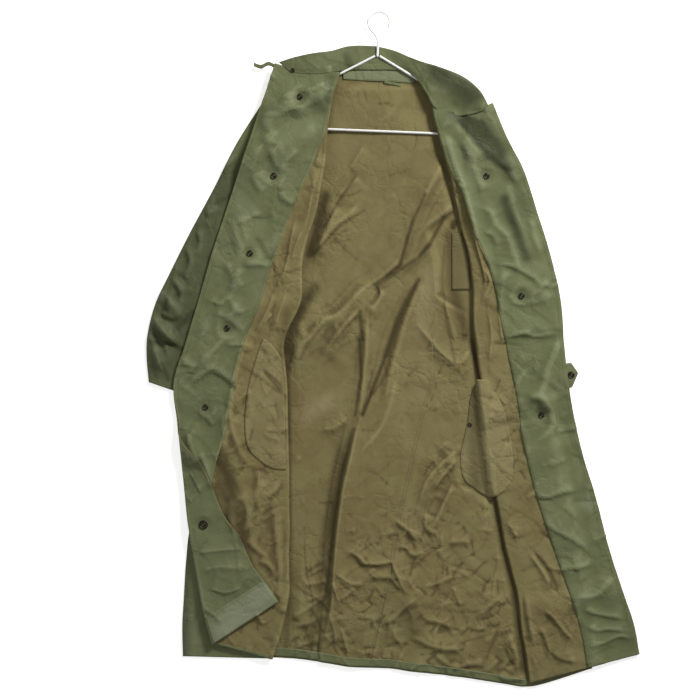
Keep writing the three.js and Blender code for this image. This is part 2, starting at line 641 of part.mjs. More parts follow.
// Press stud: a low turned button with a raised rim
function stud(name, x, y, base) {
  const profile = [
    new THREE.Vector2(0, 0),
    new THREE.Vector2(STUD_RADIUS, 0),
    new THREE.Vector2(STUD_RADIUS, STUD_HEIGHT * 0.7),
    new THREE.Vector2(STUD_RADIUS * 0.85, STUD_HEIGHT),
    new THREE.Vector2(0, STUD_HEIGHT * 0.7),
  ];
  const geometry = new THREE.LatheGeometry(profile, 10);
  geometry.rotateX(Math.PI / 2);
  const mesh = solid(name, geometry, DARK_METAL);
  mesh.position.set(x, y, base);
  return mesh;
}

// Highest point of the carrier under a stud's foot
function seatHeight(carrier, x, y) {
  const ray = new THREE.Raycaster();
  const down = new THREE.Vector3(0, 0, -1);
  let top = -Infinity;
  for (let k = 0; k <= 16; k += 1) {
    const angle = (k * Math.PI) / 8;
    const reach = k === 16 ? 0 : STUD_RADIUS;
    ray.set(new THREE.Vector3(x + reach * Math.cos(angle), y + reach * Math.sin(angle), 100), down);
    const hits = ray.intersectObject(carrier);
    if (hits.length > 0) {
      top = Math.max(top, hits[0].point.z);
    }
  }
  return top + STUD_GAP;
}

// Wire hanger
function hangerPoint(x, y) {
  const c = Math.cos(HANGER_TURN);
  const s = Math.sin(HANGER_TURN);
  return new THREE.Vector3(HANGER_X + x * c - y * s, HANGER_Y + x * s + y * c, HANGER_Z);
}

function wire(name, points, steps) {
  const circle = new THREE.Shape();
  for (let k = 0; k < 8; k += 1) {
    const angle = (k * Math.PI) / 4;
    const x = WIRE_RADIUS * Math.cos(angle);
    const y = WIRE_RADIUS * Math.sin(angle);
    if (k === 0) {
      circle.moveTo(x, y);
    } else {
      circle.lineTo(x, y);
    }
  }
  circle.closePath();
  const path = new THREE.CatmullRomCurve3(points, false, "centripetal");
  const geometry = new THREE.ExtrudeGeometry(circle, {
    steps, extrudePath: path, bevelEnabled: false, curveSegments: 1,
  });
  return solid(name, geometry, WHITE_WIRE);
}

function hangerArm(name, side) {
  const points = [];
  for (const f of even(4)) {
    const x = mix(4.2, ARM_HALF, f);
    points.push(hangerPoint(side * x, -ARM_SLOPE * x));
  }
  const low = ARM_SLOPE * ARM_HALF;
  const bend = (BAR_DROP - low) / 2;
  for (const angle of [60, 20, -20, -60, -90]) {
    const a = THREE.MathUtils.degToRad(angle);
    const x = ARM_HALF - 2 + bend * 0.8 * Math.cos(a);
    points.push(hangerPoint(side * x, -(low + bend) + bend * Math.sin(a)));
  }
  points.push(hangerPoint(side * (ARM_HALF - 14), -BAR_DROP));
  return wire(name, points, 20);
}

const HOOK_PATH = [
  { x: 0, y: -3 }, { x: 0, y: 12 }, { x: 0, y: 26 }, { x: -6, y: 37 }, { x: -17, y: 47 },
  { x: -20, y: 60 }, { x: -13, y: 73 }, { x: 1, y: 79 }, { x: 15, y: 73 }, { x: 21, y: 60 },
  { x: 18, y: 48 },
];

const group = new THREE.Group();

group.add(
  sheet("back", BROWN, backPlace, even(30), even(28), BACK_WALL, true),
  frontPanel("front_right", frontRight, 30, 8),
  frontPanel("front_left", frontLeft, 28, 1),
  facing("facing_right", frontRight, 30, 8, 22),
  facing("facing_left", frontLeft, 28, 1, 29),
  sleeve("sleeve_right", SLEEVE_RIGHT, () => RIGHT_SLEEVE_HEIGHT, rightSleeveRise, 14),
  sleeve("sleeve_left", SLEEVE_LEFT, (y) => LEFT_SLEEVE_HEIGHT + hangerRise(y), () => 0, 14),
  sheet("collar", GREEN, collarPlace, even(26), even(4), WALL),
  sheet("neck_facing", GREEN, neckFacingPlace, even(10), even(2), TRIM_WALL),
  sheet("hang_loop", GREEN, hangLoopPlace, even(8), even(1), TRIM_WALL),
  sheet("collar_strap", GREEN, strapPlace, even(8), even(1), TRIM_WALL),
  sheet("pocket_bag_right", TAN, rightBagPlace, even(6), even(10), TRIM_WALL),
  sheet("pocket_bag_left", TAN, leftBagPlace, even(12), even(10), TRIM_WALL),
  sheet("breast_pocket", TAN, breastPocketPlace, even(3), even(5), TRIM_WALL),
  sheet("cuff_tab_left", GREEN, cuffTabPlace, even(3), even(6), TRIM_WALL),
  hangerArm("hanger_arm_right", -1),
  hangerArm("hanger_arm_left", 1),
  wire("hanger_bar",
    [hangerPoint(-ARM_HALF + 14.5, -BAR_DROP), hangerPoint(ARM_HALF - 14.5, -BAR_DROP)], 2),
  wire("hanger_hook", HOOK_PATH.map((p) => hangerPoint(p.x, p.y)), 26),
);

const piece = (name) => group.children.find((mesh) => mesh.name === name);
RIGHT_STUDS.forEach(({ x, y }, k) => {
  group.add(stud(`stud_right_${k + 1}`, x, y, seatHeight(piece("facing_right"), x, y)));
});
LEFT_STUDS.forEach(({ x, y }, k) => {
  group.add(stud(`stud_left_${k + 1}`, x, y, seatHeight(piece("facing_left"), x, y)));
});
group.add(stud("stud_flap", FLAP_STUD.x, FLAP_STUD.y,
  seatHeight(piece("front_right"), FLAP_STUD.x, FLAP_STUD.y)));

// Centre the coat over the origin, standing on z = 0
const box = new THREE.Box3().setFromObject(group);
group.position.set(-(box.min.x + box.max.x) / 2, -(box.min.y + box.max.y) / 2, -box.min.z);

export default group;
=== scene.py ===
import math
import random

import bmesh
import bpy
import numpy as np
from mathutils import Matrix, Vector
from mathutils.bvhtree import BVHTree


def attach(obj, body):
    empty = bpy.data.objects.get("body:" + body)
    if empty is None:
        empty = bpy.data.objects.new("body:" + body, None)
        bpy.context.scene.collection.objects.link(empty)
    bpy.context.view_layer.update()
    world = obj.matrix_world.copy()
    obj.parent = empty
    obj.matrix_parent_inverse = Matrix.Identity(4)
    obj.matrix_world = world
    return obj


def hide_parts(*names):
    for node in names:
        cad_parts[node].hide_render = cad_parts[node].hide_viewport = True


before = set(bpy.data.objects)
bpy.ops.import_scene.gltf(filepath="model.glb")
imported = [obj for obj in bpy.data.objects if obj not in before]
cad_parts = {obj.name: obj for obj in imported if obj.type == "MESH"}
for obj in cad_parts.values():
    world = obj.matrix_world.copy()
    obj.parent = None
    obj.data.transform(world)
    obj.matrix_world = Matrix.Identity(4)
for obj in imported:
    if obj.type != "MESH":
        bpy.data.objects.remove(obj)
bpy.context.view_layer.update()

# Lengths below are millimetres of the cutting plan, whose origin lies a little off the frame's
MM = 0.001
PLAN_X = 0.367
PLAN_Y = 4.350

# Cloth
BACK_WALL = 1.2
CLOTH_WALL = 1.0
TRIM_WALL = 0.8
FACING_ON = 1.25
FACING_DIP = 1.3
PATCH_ON = 1.5
EDGE_STRIP = 2.5
FLAP_RADIUS = 3.6
FOLD_WANDER = 3.2
COLLAR_ON = 1.7
COLLAR_SINK = 0.95
HEM_WALL = 0.6
HEM_ON = 1.05
FRONT_HEM_ON = 0.95

# Shares of the back's rows and of its length
BACK_ROWS = ([0, 0.08, 0.54, 1], [0, 0.14, 0.59, 1])

# Heights of the layers, at the middle of each wall
BACK_HEIGHT = 0.7
MIDDLE_HEIGHT = 2.9
FREE_HEIGHT = 2.2
FOLD_RISE = 5.1
HANGER_LIFT = 7
SLEEVE_HALF_GAP = 1.7
RIGHT_SLEEVE_HEIGHT = 0.6
LEFT_SLEEVE_HEIGHT = 4.6
RIGHT_SLEEVE_COVER = 3.8
LEFT_SLEEVE_COVER = 8.2
POCKET_HEIGHT = 2.5
NECK_HEIGHT = 2.65

# Hanger
WIRE_RADIUS = 2.2
HANGER_X = -28
HANGER_Y = 523
HANGER_Z = 6.5
HANGER_TURN = -0.04
ARM_HALF = 182
ARM_SLOPE = 0.557
BAR_DROP = 137
HOOK = [
    (0, -3), (0, 12), (0, 26), (-6, 37), (-17, 47), (-20, 60), (-13, 73), (1, 79), (15, 73),
    (21, 60), (18, 48),
]

# Panel lines from shoulder to hem, one column for each coordinate
BACK_SIDES = np.array([
    (-230, 443, 169, 425), (-214, 371, 158, 362), (-206, 299, 150, 290), (-210, 223, 174, 218),
    (-206, 151, 215, 151), (-204, 74, 246, 74), (-218, -7, 266, -7), (-246, -83, 276, -97),
    (-286, -155, 289, -187), (-331, -238, 307, -277), (-361, -326, 327, -358),
    (-370, -389, 343, -439), (-375, -457, 354, -511), (-376, -554, 358, -580),
], float)
BACK_TOP = np.array([
    (-230, 443), (-167, 475), (-117, 500), (-90, 506), (-59, 500), (-29, 499), (2, 500),
    (27, 506), (58, 502), (103, 484), (139, 468), (158, 448), (169, 425),
], float)
BACK_HEM = np.array([
    (-376, -554), (-302, -558), (-225, -560), (-167, -563), (-113, -571), (-74, -577),
    (-5, -580), (31, -585), (85, -591), (139, -598), (202, -608), (238, -613), (274, -607),
    (358, -580),
], float)

CENTRE_SEAM = np.array([
    (-29, 500), (-24, 440), (-12, 370), (4, 300), (28, 220), (48, 140), (64, 60), (72, -10),
    (71, -60), (59, -100), (48, -145), (36, -195), (25, -245), (14, -295), (4, -345),
    (-3, -395), (-13, -440), (-24, -490), (-36, -540), (-46, -590),
], float)

# Fronts: side seam, inner fold, outer line, bow, facing, flap, curl and turn
FRONT_RIGHT = np.array([
    (-232, 436, -95, 490, -212, 506, -7, 122, 4, 0, 0),
    (-214, 371, -112, 421, -241, 418, 0, 126, 4, 0, 0),
    (-206, 299, -120, 340, -268, 337, 0, 129, 4, 0, 0),
    (-210, 223, -135, 250, -295, 257, 0, 118, 4, 0, 0),
    (-206, 151, -160, 162, -324, 169, 0, 114, 4, 0, 0),
    (-204, 74, -166, 83, -349, 83, 0, 112, 4, 0, 0),
    (-219, -7, -194, 7, -373, 2, 0, 106, 4, 0, 0),
    (-248, -83, -191, -65, -394, -68, 0, 108, 4, 0, 0),
    (-290, -151, -189, -140, -387, -140, 0, 92, 5, 70, 0),
    (-335, -232, -187, -223, -378, -223, 0, 102, 40, 180, 4),
    (-364, -322, -186, -317, -369, -310, 0, 102, 66, 180, 8),
    (-372, -385, -187, -389, -358, -378, 0, 100, 91, 180, 25),
    (-376, -448, -189, -446, -347, -443, 0, 98, 108, 180, 30),
    (-379, -504, -198, -502, -337, -491, 0, 98, 128, 180, 33),
    (-378, -558, -216, -563, -325, -533, 0, 98, 143, 180, 33),
], float)
FRONT_LEFT = np.array([
    (166, 420, 70, 430, 178, 434, -15, 112, 0, 0, 0),
    (156, 362, 85, 371, 203, 374, -3, 124, 0, 0, 0),
    (149, 290, 106, 295, 234, 313, 0, 118, 0, 0, 0),
    (172, 218, 121, 223, 259, 236, 0, 122, 0, 0, 0),
    (213, 151, 139, 151, 283, 158, 0, 115, 0, 0, 0),
    (244, 74, 144, 72, 301, 76, 0, 113, 0, 0, 0),
    (264, -7, 150, -7, 307, -7, 0, 103, 0, 0, 0),
    (275, -97, 162, -97, 319, -97, 0, 97, 0, 0, 0),
    (287, -187, 175, -187, 338, -184, 0, 102, 0, 0, 0),
    (305, -277, 187, -277, 365, -274, 0, 106, 0, 0, 0),
    (325, -358, 202, -358, 385, -353, 0, 100, 0, 0, 0),
    (341, -439, 220, -439, 410, -432, 0, 98, 0, 0, 0),
    (353, -511, 232, -515, 432, -497, 0, 97, 0, 0, 0),
    (358, -580, 247, -605, 443, -554, 0, 97, 0, 0, 0),
], float)
SLEEVE_RIGHT = np.array([
    (-237, 434, -214, 212, 12), (-281, 364, -224, 151, 3), (-322, 283, -230, 101, 0),
    (-364, 205, -238, 50, 0), (-400, 133, -250, 2, 0), (-427, 76, -261, -40, 0),
    (-441, 22, -270, -76, 0), (-443, -18, -277, -97, 0), (-439, -65, -284, -119, 0),
], float)
SLEEVE_LEFT = np.array([
    (169, 412, 146, 212, 0), (198, 351, 149, 151, 0), (230, 268, 151, 90, 0),
    (257, 191, 155, 43, 0), (277, 119, 158, 0, 0), (293, 56, 162, -36, 0),
    (302, 0, 166, -65, 0), (304, -47, 167, -85, 0),
], float)
COLLAR = np.array([
    (-205, 508, -184, 490, 17.5), (-176, 517, -158, 487, 17.5), (-144, 524, -131, 487, 17),
    (-112, 529, -106, 491, 11.5), (-83, 538, -85, 495, 5.4), (-56, 540, -59, 496, 4.4),
    (-27, 538, -29, 496, 4.3), (2, 531, -4, 496, 4.4), (27, 520, 24, 493, 6.6),
    (50, 510, 43, 477, 13), (74, 502, 60, 450, 18.5), (96, 494, 75, 424, 21),
    (120, 484, 100, 412, 21.5), (141, 470, 125, 412, 21.6), (158, 452, 147, 416, 21.6),
    (170, 430, 164, 423, 21.6),
], float)

# Main raised folds of each layer: both ends, height and half width
RIGHT_FRONT_FOLDS = [
    (-165, 425, -118, 455, 5, 13), (-225, 400, -170, 452, 4, 14),
    (-270, 330, -150, 380, 6, 22), (-250, 160, -185, 205, 4, 18),
    (-330, 40, -240, 75, 4, 20), (-330, -300, -240, -260, 4, 20),
]
LEFT_FRONT_FOLDS = [
    (100, 402, 150, 350, 3, 13), (150, 350, 200, 318, 3, 15), (95, 360, 118, 290, 6, 12),
    (200, 120, 270, 90, 4, 18), (240, -200, 310, -170, 4, 20), (270, -470, 390, -440, 4, 22),
]
RIGHT_SLEEVE_FOLDS = [
    (-425, 42, -392, 8, 7, 9), (-392, 8, -376, -6, 6, 8),
    (-418, 90, -385, 64, 6, 10), (-436, 10, -420, -45, 4, 10),
]

# Press studs: CAD node, and where each sits
STUDS = {
    "stud_right_1": (-167, 446), "stud_right_2": (-214, 305), "stud_right_3": (-257, 166),
    "stud_right_4": (-298, 32), "stud_right_5": (-337, -110), "stud_left_1": (167, 304),
    "stud_left_2": (230, 90), "stud_left_3": (266, -124), "stud_flap": (-340, -320),
}

FLAP_STUD_SIZE = 1.5
STUD_STEPS = 28
STUD_PRESSED_IN = 0.0001

# Radius and height along the section of a stud
STUD_PROFILE = [
    (5.4, 0.0), (5.5, 0.5), (5.2, 1.1), (4.5, 1.35), (3.9, 1.1), (3.6, 0.6), (2.6, 0.5),
    (2.3, 1.0), (1.7, 1.2), (1.2, 0.9), (0.9, 0.5), (0.0, 0.45),
]

# Smaller studs of the trim: name, place and size
TRIM_STUDS = [
    ("cuff_tab_stud", 320, -52, 1.15), ("pocket_snap", 138, -142, 0.75),
    ("collar_snap", -180, 493, 0.7),
]

# Stitches round the patch on the left facing, the small slits and a thread's end
PATCH_LINE = [
    (288, -362), (310, -362), (335, -364), (350, -372), (357, -382), (352, -393), (335, -400),
    (310, -402), (290, -402),
]
SLITS = [
    [(-300.6, 167), (-289.8, 164.7)], [(-369, -47), (-358, -50)], [(-237.6, 382), (-234, 381)],
    [(-337, 56), (-334, 55)], [(340, -374), (344, -374)], [(318, -381), (322, -382)],
]
KNOTS = [[(-251, -546), (-247, -547)]]

# Small creases reach no further than this, and one of their flanks is steep
SMALL_REACH = 10
LONG_FLANK = 1.5
STEEP_FLANK = 0.42
LEFT_AT_ENDS = 0.15

# Creases of the back. Each has the points it runs along, its rise, negative for a trough,
# and how far its left and right flanks reach, seen along the run.
BACK_CREASES = [
    # folds that start under the wearer's shoulders and cross the waist
    ([(98, 345), (72, 295), (55, 265), (42, 240), (32, 210), (25, 190), (15, 165), (9, 150),
      (-15, 130), (-35, 113)], 5.5, 9, 24),
    ([(108, 268), (96, 235), (70, 188), (50, 165), (30, 150), (14, 140)], 3.0, 7, 12),
    ([(46, 118), (25, 81), (8, 44), (-5, 12), (-13, -18), (-24, -51), (-38, -81), (-55, -123)],
     -6.0, 10, 13),
    ([(58, 122), (36, 82), (22, 48), (6, -10), (-8, -60), (-14, -100)], 3.4, 14, 8),
    ([(-46, 58), (-48, 20), (-49, -10), (-52, -45), (-56, -87), (-60, -125)], 4.5, 14, 6),
    # the long fold down the right-hand side of the lining
    ([(-55, -118), (-65, -150), (-76, -195), (-83, -225), (-90, -255), (-95, -290),
      (-99, -320), (-103, -360), (-106, -400), (-108, -440), (-111, -470), (-117, -500),
      (-124, -530), (-130, -556)], 12, 60, 9),
    ([(-35, 118), (-60, 97), (-98, 56), (-124, 46), (-144, 20), (-168, 0), (-180, -28),
      (-184, -58)], 6.5, 24, 9),
    ([(-70, 57), (-88, 30), (-108, 5), (-126, -20)], 3.5, 18, 8),
    ([(-24, 104), (-22, 92), (-34, 74), (-46, 60)], 2.6, 6, 6),
    ([(-33, 110), (-26, 98), (-30, 84), (-40, 68)], -2.0, 5, 5),
    ([(-60, 66), (-84, 40), (-112, 4)], 2.6, 10, 5),
    ([(-102, 260), (-112, 225), (-127, 190), (-138, 160)], 5, 18, 8),
    ([(-52, 360), (-70, 330), (-80, 315)], 1.5, 9, 8),
    ([(-55, 262), (-80, 237), (-105, 217), (-120, 197), (-150, 152)], 2.8, 14, 8),
    ([(-60, 305), (-100, 268)], 1.8, 12, 8),
    ([(-173, 45), (-158, 12)], 2.0, 8, 8),
    ([(106, 230), (86, 150), (81, 110), (91, 80), (101, 50), (118, -20)], 3.5, 10, 18),
    ([(36, 47), (58, 21), (83, -8), (112, -33), (130, -20), (146, 8)], 3.4, 14, 9),
    ([(112, 238), (110, 205)], -3.0, 9, 9),
    ([(8, -53), (0, -83), (-8, -113), (-20, -143), (-34, -163), (-52, -183), (-62, -198)],
     3.0, 12, 14),
    ([(-130, -150), (-108, -148), (-80, -128)], 2.2, 8, 10),
    ([(-188, -220), (-165, -197)], 1.8, 8, 8),
    ([(-185, -280), (-175, -295)], 1.6, 8, 8),
    # creases that spread from the long fold near the hem
    ([(-117, -420), (-140, -426), (-165, -430)], 2.4, 7, 9),
    ([(-117, -442), (-137, -451), (-159, -456)], 2.4, 7, 7),
    ([(-118, -446), (-148, -467), (-178, -486), (-196, -489)], 2.8, 8, 8),
    ([(-120, -475), (-137, -489), (-155, -499), (-181, -501)], 2.6, 8, 7),
    ([(-130, -526), (-152, -533), (-174, -543)], 2.2, 7, 8),
    ([(-112, -420), (-104, -438), (-96, -460)], 3.0, 6, 8),
    ([(-95, -455), (-67, -432)], 2.4, 7, 7),
    ([(-105, -405), (-75, -425), (-48, -428)], 3.4, 6, 9),
    ([(-95, -500), (-87, -530), (-80, -557)], 2.4, 7, 8),
    ([(-115, -480), (-105, -510), (-104, -535)], 2.6, 7, 7),
    ([(-88, -363), (-65, -375), (-50, -390), (-20, -390), (-3, -387), (2, -400), (15, -428),
      (22, -440), (35, -445)], 4.2, 9, 7),
    ([(-45, -400), (-30, -415), (-5, -415), (8, -430), (20, -440)], 3.0, 8, 7),
    ([(0, -312), (10, -318), (25, -330), (45, -350)], 2.6, 8, 7),
    ([(2, -358), (22, -362), (30, -372), (40, -376), (60, -367)], 2.4, 8, 7),
    ([(60, -298), (58, -320), (66, -333), (80, -333)], 2.6, 7, 8),
    ([(66, -331), (78, -312), (90, -285), (108, -248)], 3.2, 9, 7),
    ([(45, -290), (55, -255), (70, -230), (95, -205), (120, -185)], 3.2, 10, 8),
    ([(72, -258), (88, -235), (118, -200)], 2.4, 8, 7),
    ([(110, -415), (75, -428), (52, -433)], 2.4, 7, 8),
    ([(78, -365), (95, -385)], 1.8, 7, 7),
    ([(100, -350), (140, -352)], 2.0, 7, 8),
    ([(105, -430), (115, -450), (122, -470)], 2.2, 7, 7),
    ([(200, -450), (180, -460), (165, -475), (150, -485)], 2.6, 8, 7),
    ([(165, -505), (150, -510)], 1.8, 7, 7),
    ([(-25, -500), (0, -490), (20, -470), (45, -452)], 3.0, 8, 8),
    ([(0, -505), (5, -525), (20, -540)], 2.2, 7, 7),
    ([(50, -475), (60, -490), (80, -495), (105, -505)], 2.8, 8, 7),
    ([(28, -520), (50, -530), (75, -540), (105, -545), (130, -540)], 3.2, 7, 9),
    ([(75, -555), (95, -570), (120, -580)], 2.6, 7, 7),
    ([(105, -582), (135, -572), (165, -573)], 2.4, 8, 6),
    ([(206, -512), (216, -540), (226, -560), (238, -577)], 5.0, 9, 14),
    ([(185, -590), (200, -598), (230, -598), (245, -590)], 2.4, 7, 6),
]

# Creases of the two turned-back fronts
RIGHT_FRONT_CREASES = [
    # lapel and chest
    ([(-116, 474), (-150, 457), (-185, 447), (-208, 441)], 5, 12, 8),
    ([(-238, 414), (-210, 412), (-190, 421), (-163, 428)], 3.5, 14, 6),
    ([(-232, 384), (-222, 352), (-212, 330), (-200, 318)], 3.2, 8, 7),
    ([(-232, 366), (-208, 360), (-218, 338)], 2.4, 7, 7),
    ([(-168, 352), (-192, 330), (-202, 308)], 3.0, 10, 8),
    ([(-248, 338), (-228, 366), (-204, 386)], 2.4, 8, 10),
    ([(-252, 312), (-246, 290), (-232, 272)], 3.0, 8, 7),
    ([(-204, 278), (-194, 262), (-174, 254)], 3.4, 9, 8),
    ([(-283, 216), (-260, 229), (-234, 240)], 2.6, 9, 7),
    ([(-247, 196), (-236, 180), (-226, 160), (-217, 149)], -3.4, 7, 8),
    ([(-291, 232), (-283, 200), (-276, 180), (-270, 165), (-262, 154)], 3.4, 7, 8),
    ([(-276, 236), (-268, 206), (-262, 184)], 2.2, 7, 7),
    ([(-301, 152), (-290, 130), (-286, 114), (-291, 94)], 3.2, 7, 8),
    ([(-276, 142), (-279, 120), (-269, 102)], 2.8, 7, 7),
    ([(-266, 144), (-242, 147), (-220, 143)], 3.4, 8, 10),
    ([(-334, 86), (-310, 75), (-295, 85), (-279, 61), (-260, 70)], 3.2, 8, 8),
    ([(-322, 58), (-292, 55), (-278, 78)], 2.6, 7, 8),
    ([(-304, 52), (-280, 36), (-262, 24)], 2.8, 8, 8),
    # skirt
    ([(-300, 2), (-272, 2), (-248, -2)], 3.0, 8, 9),
    ([(-348, -34), (-322, -6), (-300, 18), (-284, 32)], 4.0, 12, 10),
    ([(-367, -77), (-342, -61), (-325, -49)], -4.0, 9, 7),
    ([(-325, -49), (-302, -64), (-281, -80)], -4.2, 7, 9),
    ([(-368, -66), (-344, -50), (-325, -40), (-300, -54), (-279, -70)], 3.6, 12, 7),
    ([(-382, -20), (-366, -34), (-350, -38)], 2.4, 8, 8),
    ([(-352, -112), (-334, -128), (-322, -146)], 2.4, 8, 8),
    ([(-300, -118), (-306, -142), (-300, -168)], 2.6, 8, 9),
    ([(-372, -150), (-362, -184), (-350, -214)], 3.0, 9, 9),
    ([(-346, -186), (-334, -220), (-322, -256)], 4.5, 6, 14),
    ([(-353, -371), (-320, -366), (-272, -362)], 3.2, 12, 6),
    ([(-346, -402), (-304, -394), (-262, -402)], 2.4, 11, 9),
    ([(-332, -432), (-300, -441), (-268, -430)], 2.6, 9, 9),
    ([(-346, -468), (-322, -480), (-306, -500)], 2.2, 8, 8),
    ([(-369, -430), (-360, -476), (-352, -520)], 3.0, 8, 8),
    # lining strip between the facing and the inner fold
    ([(-124, 332), (-140, 290), (-149, 250), (-158, 205), (-164, 168), (-173, 122)], 4.5, 7, 12),
    ([(-116, 398), (-130, 350), (-142, 318)], 3.4, 7, 9),
    ([(-172, 236), (-182, 196), (-190, 150), (-206, 110)], 3.0, 9, 8),
    ([(-160, 208), (-174, 184), (-182, 152)], 2.2, 7, 7),
    ([(-212, 100), (-226, 62), (-246, 24)], 3.0, 9, 8),
    ([(-190, 100), (-204, 60), (-214, 30)], 3.2, 12, 9),
    ([(-262, 20), (-277, -30), (-288, -70), (-294, -110), (-290, -148), (-276, -186),
      (-256, -212)], 3.2, 7, 7),
    ([(-300, -160), (-310, -218), (-301, -258), (-290, -282), (-287, -328), (-276, -350)],
     5.0, 8, 12),
    ([(-289, -278), (-270, -274), (-261, -300), (-267, -340)], 3.0, 8, 7),
    ([(-266, -344), (-246, -364), (-224, -380)], 3.0, 7, 8),
    ([(-241, -384), (-222, -394), (-208, -420)], 3.0, 7, 8),
    ([(-214, -282), (-209, -340), (-203, -400), (-203, -440)], 3.4, 9, 8),
    ([(-246, -478), (-231, -502)], 2.4, 6, 7),
    ([(-232, -236), (-244, -262), (-238, -292)], 2.4, 8, 7),
    ([(-204, -242), (-216, -262), (-240, -270)], 2.2, 7, 7),
]
LEFT_FRONT_CREASES = [
    # lapel and chest
    ([(104, 420), (130, 383), (152, 356), (173, 333), (197, 312)], -1.6, 6, 7),
    ([(92, 424), (112, 398), (140, 360), (166, 330)], 1.4, 12, 14),
    ([(124, 436), (150, 424), (168, 410)], -4, 9, 9),
    ([(206, 300), (211, 252), (226, 214), (237, 180), (252, 148)], 4.5, 20, 12),
    ([(186, 330), (206, 316), (222, 288)], 3.2, 9, 8),
    ([(150, 250), (174, 240), (186, 216), (205, 196), (216, 165), (223, 144), (226, 118)],
     4.6, 8, 14),
    ([(163, 206), (180, 196), (186, 178)], 2.8, 7, 7),
    ([(180, 147), (210, 144), (236, 131), (256, 118), (263, 100), (250, 88)], 3.2, 8, 7),
    ([(262, 112), (284, 106), (300, 113)], 2.6, 7, 8),
    ([(205, 92), (226, 76), (242, 83)], 2.4, 7, 7),
    ([(244, 232), (252, 196), (264, 160)], 2.6, 9, 9),
    ([(136, 330), (152, 300), (158, 272)], 2.6, 8, 9),
    ([(120, 372), (132, 346), (150, 322)], 3.0, 9, 8),
    # skirt
    ([(200, 15), (230, 22), (262, 18), (292, 23)], 3.6, 10, 8),
    ([(299, 22), (289, -10), (275, -42), (264, -84), (236, -101)], 5.0, 16, 8),
    ([(262, -86), (270, -112), (262, -132)], 2.6, 7, 7),
    ([(234, -96), (252, -91), (272, -102), (285, -130), (280, -151), (262, -166),
      (248, -176)], 3.4, 7, 8),
    ([(290, -156), (311, -150), (332, -148)], 3.0, 9, 7),
    ([(240, -40), (222, -62), (216, -90)], 2.4, 8, 8),
    ([(250, -266), (275, -271), (300, -263), (332, -258)], 3.4, 9, 7),
    ([(264, -309), (290, -330), (320, -346), (346, -364), (358, -376)], 2.8, 10, 6),
    ([(290, -400), (320, -398), (345, -394), (359, -380)], 2.6, 7, 10),
    ([(396, -330), (371, -345), (354, -351)], 2.4, 8, 8),
    ([(320, -451), (345, -451), (366, -445), (385, -426), (399, -415)], 4.0, 11, 7),
    ([(320, -456), (331, -480), (325, -502)], 2.6, 7, 7),
    ([(340, -470), (365, -480), (391, -485), (416, -490)], 3.6, 7, 9),
    ([(345, -501), (366, -511), (385, -508), (421, -512)], 3.2, 8, 7),
    ([(350, -541), (380, -532), (405, -521), (430, -525)], 3.2, 7, 8),
    # lining strip between the inner fold and the facing
    ([(112, 322), (125, 270), (140, 226), (154, 182), (170, 150), (181, 125)], 4.2, 7, 8),
    ([(122, 300), (132, 256), (142, 214), (150, 176), (160, 141), (165, 110), (160, 88)],
     3.8, 6, 7),
    ([(160, 142), (173, 116), (166, 94), (157, 78)], 3.0, 6, 7),
    ([(196, 120), (190, 60), (196, 0)], 2.6, 9, 8),
    ([(170, 60), (176, 20), (172, -30)], 3.0, 9, 9),
    ([(226, -128), (233, -162), (240, -200)], 3.0, 7, 8),
    ([(236, -272), (252, -262), (256, -240)], 2.2, 7, 7),
    ([(200, -316), (215, -330), (221, -346)], 2.8, 6, 8),
    ([(251, -366), (266, -386), (281, -406), (291, -430), (297, -446)], -4.2, 6, 8),
    ([(244, -372), (259, -392), (272, -412), (282, -436)], 3.4, 9, 8),
    ([(270, -470), (290, -490), (306, -510), (326, -530)], 3.2, 7, 8),
    ([(284, -546), (301, -560), (330, -566)], 2.8, 7, 7),
    ([(236, -440), (243, -490), (254, -540)], 3.4, 9, 7),
    ([(262, -500), (276, -528), (282, -556)], 2.8, 8, 7),
]
RIGHT_SLEEVE_CREASES = [
    ([(-425, 41), (-406, 19), (-388, 4), (-376, -7)], 6, 6, 9),
    ([(-398, 34), (-380, 40), (-360, 56)], -5, 8, 8),
    ([(-418, 62), (-396, 50), (-376, 60)], 4, 7, 8),
    ([(-404, 4), (-388, -2), (-372, -10)], -5, 7, 7),
    ([(-432, 2), (-421, -30), (-410, -52)], 4, 7, 7),
    ([(-414, 20), (-404, -14), (-398, -40)], 3, 7, 7),
    ([(-322, 254), (-306, 264), (-292, 272)], -5, 8, 8),
    ([(-338, 236), (-322, 240), (-308, 248)], 3.5, 7, 7),
    ([(-334, 230), (-325, 205), (-320, 178)], 3.4, 7, 7),
    ([(-352, 212), (-346, 186), (-352, 158)], 3.0, 7, 7),
    ([(-372, 182), (-364, 150), (-376, 120)], 3.4, 7, 8),
    ([(-396, 122), (-380, 95), (-384, 70)], 3.4, 7, 7),
    ([(-350, 130), (-362, 104), (-356, 80)], 3.6, 7, 7),
    ([(-312, 310), (-292, 330), (-274, 344)], 3.0, 7, 7),
    ([(-290, 300), (-300, 280), (-296, 262)], 2.6, 7, 7),
    ([(-410, 96), (-400, 74), (-404, 52)], 3.0, 7, 7),
]

# Beside the left pocket bag the back lies flat: rows of the plan, and for how far
BAG_CLEAR = [
    [-290, -270, -250, -196, -162, -128, -94, -60, -40],
    [6, 24, 54, 56, 45, 35, 25, 10, 6],
]

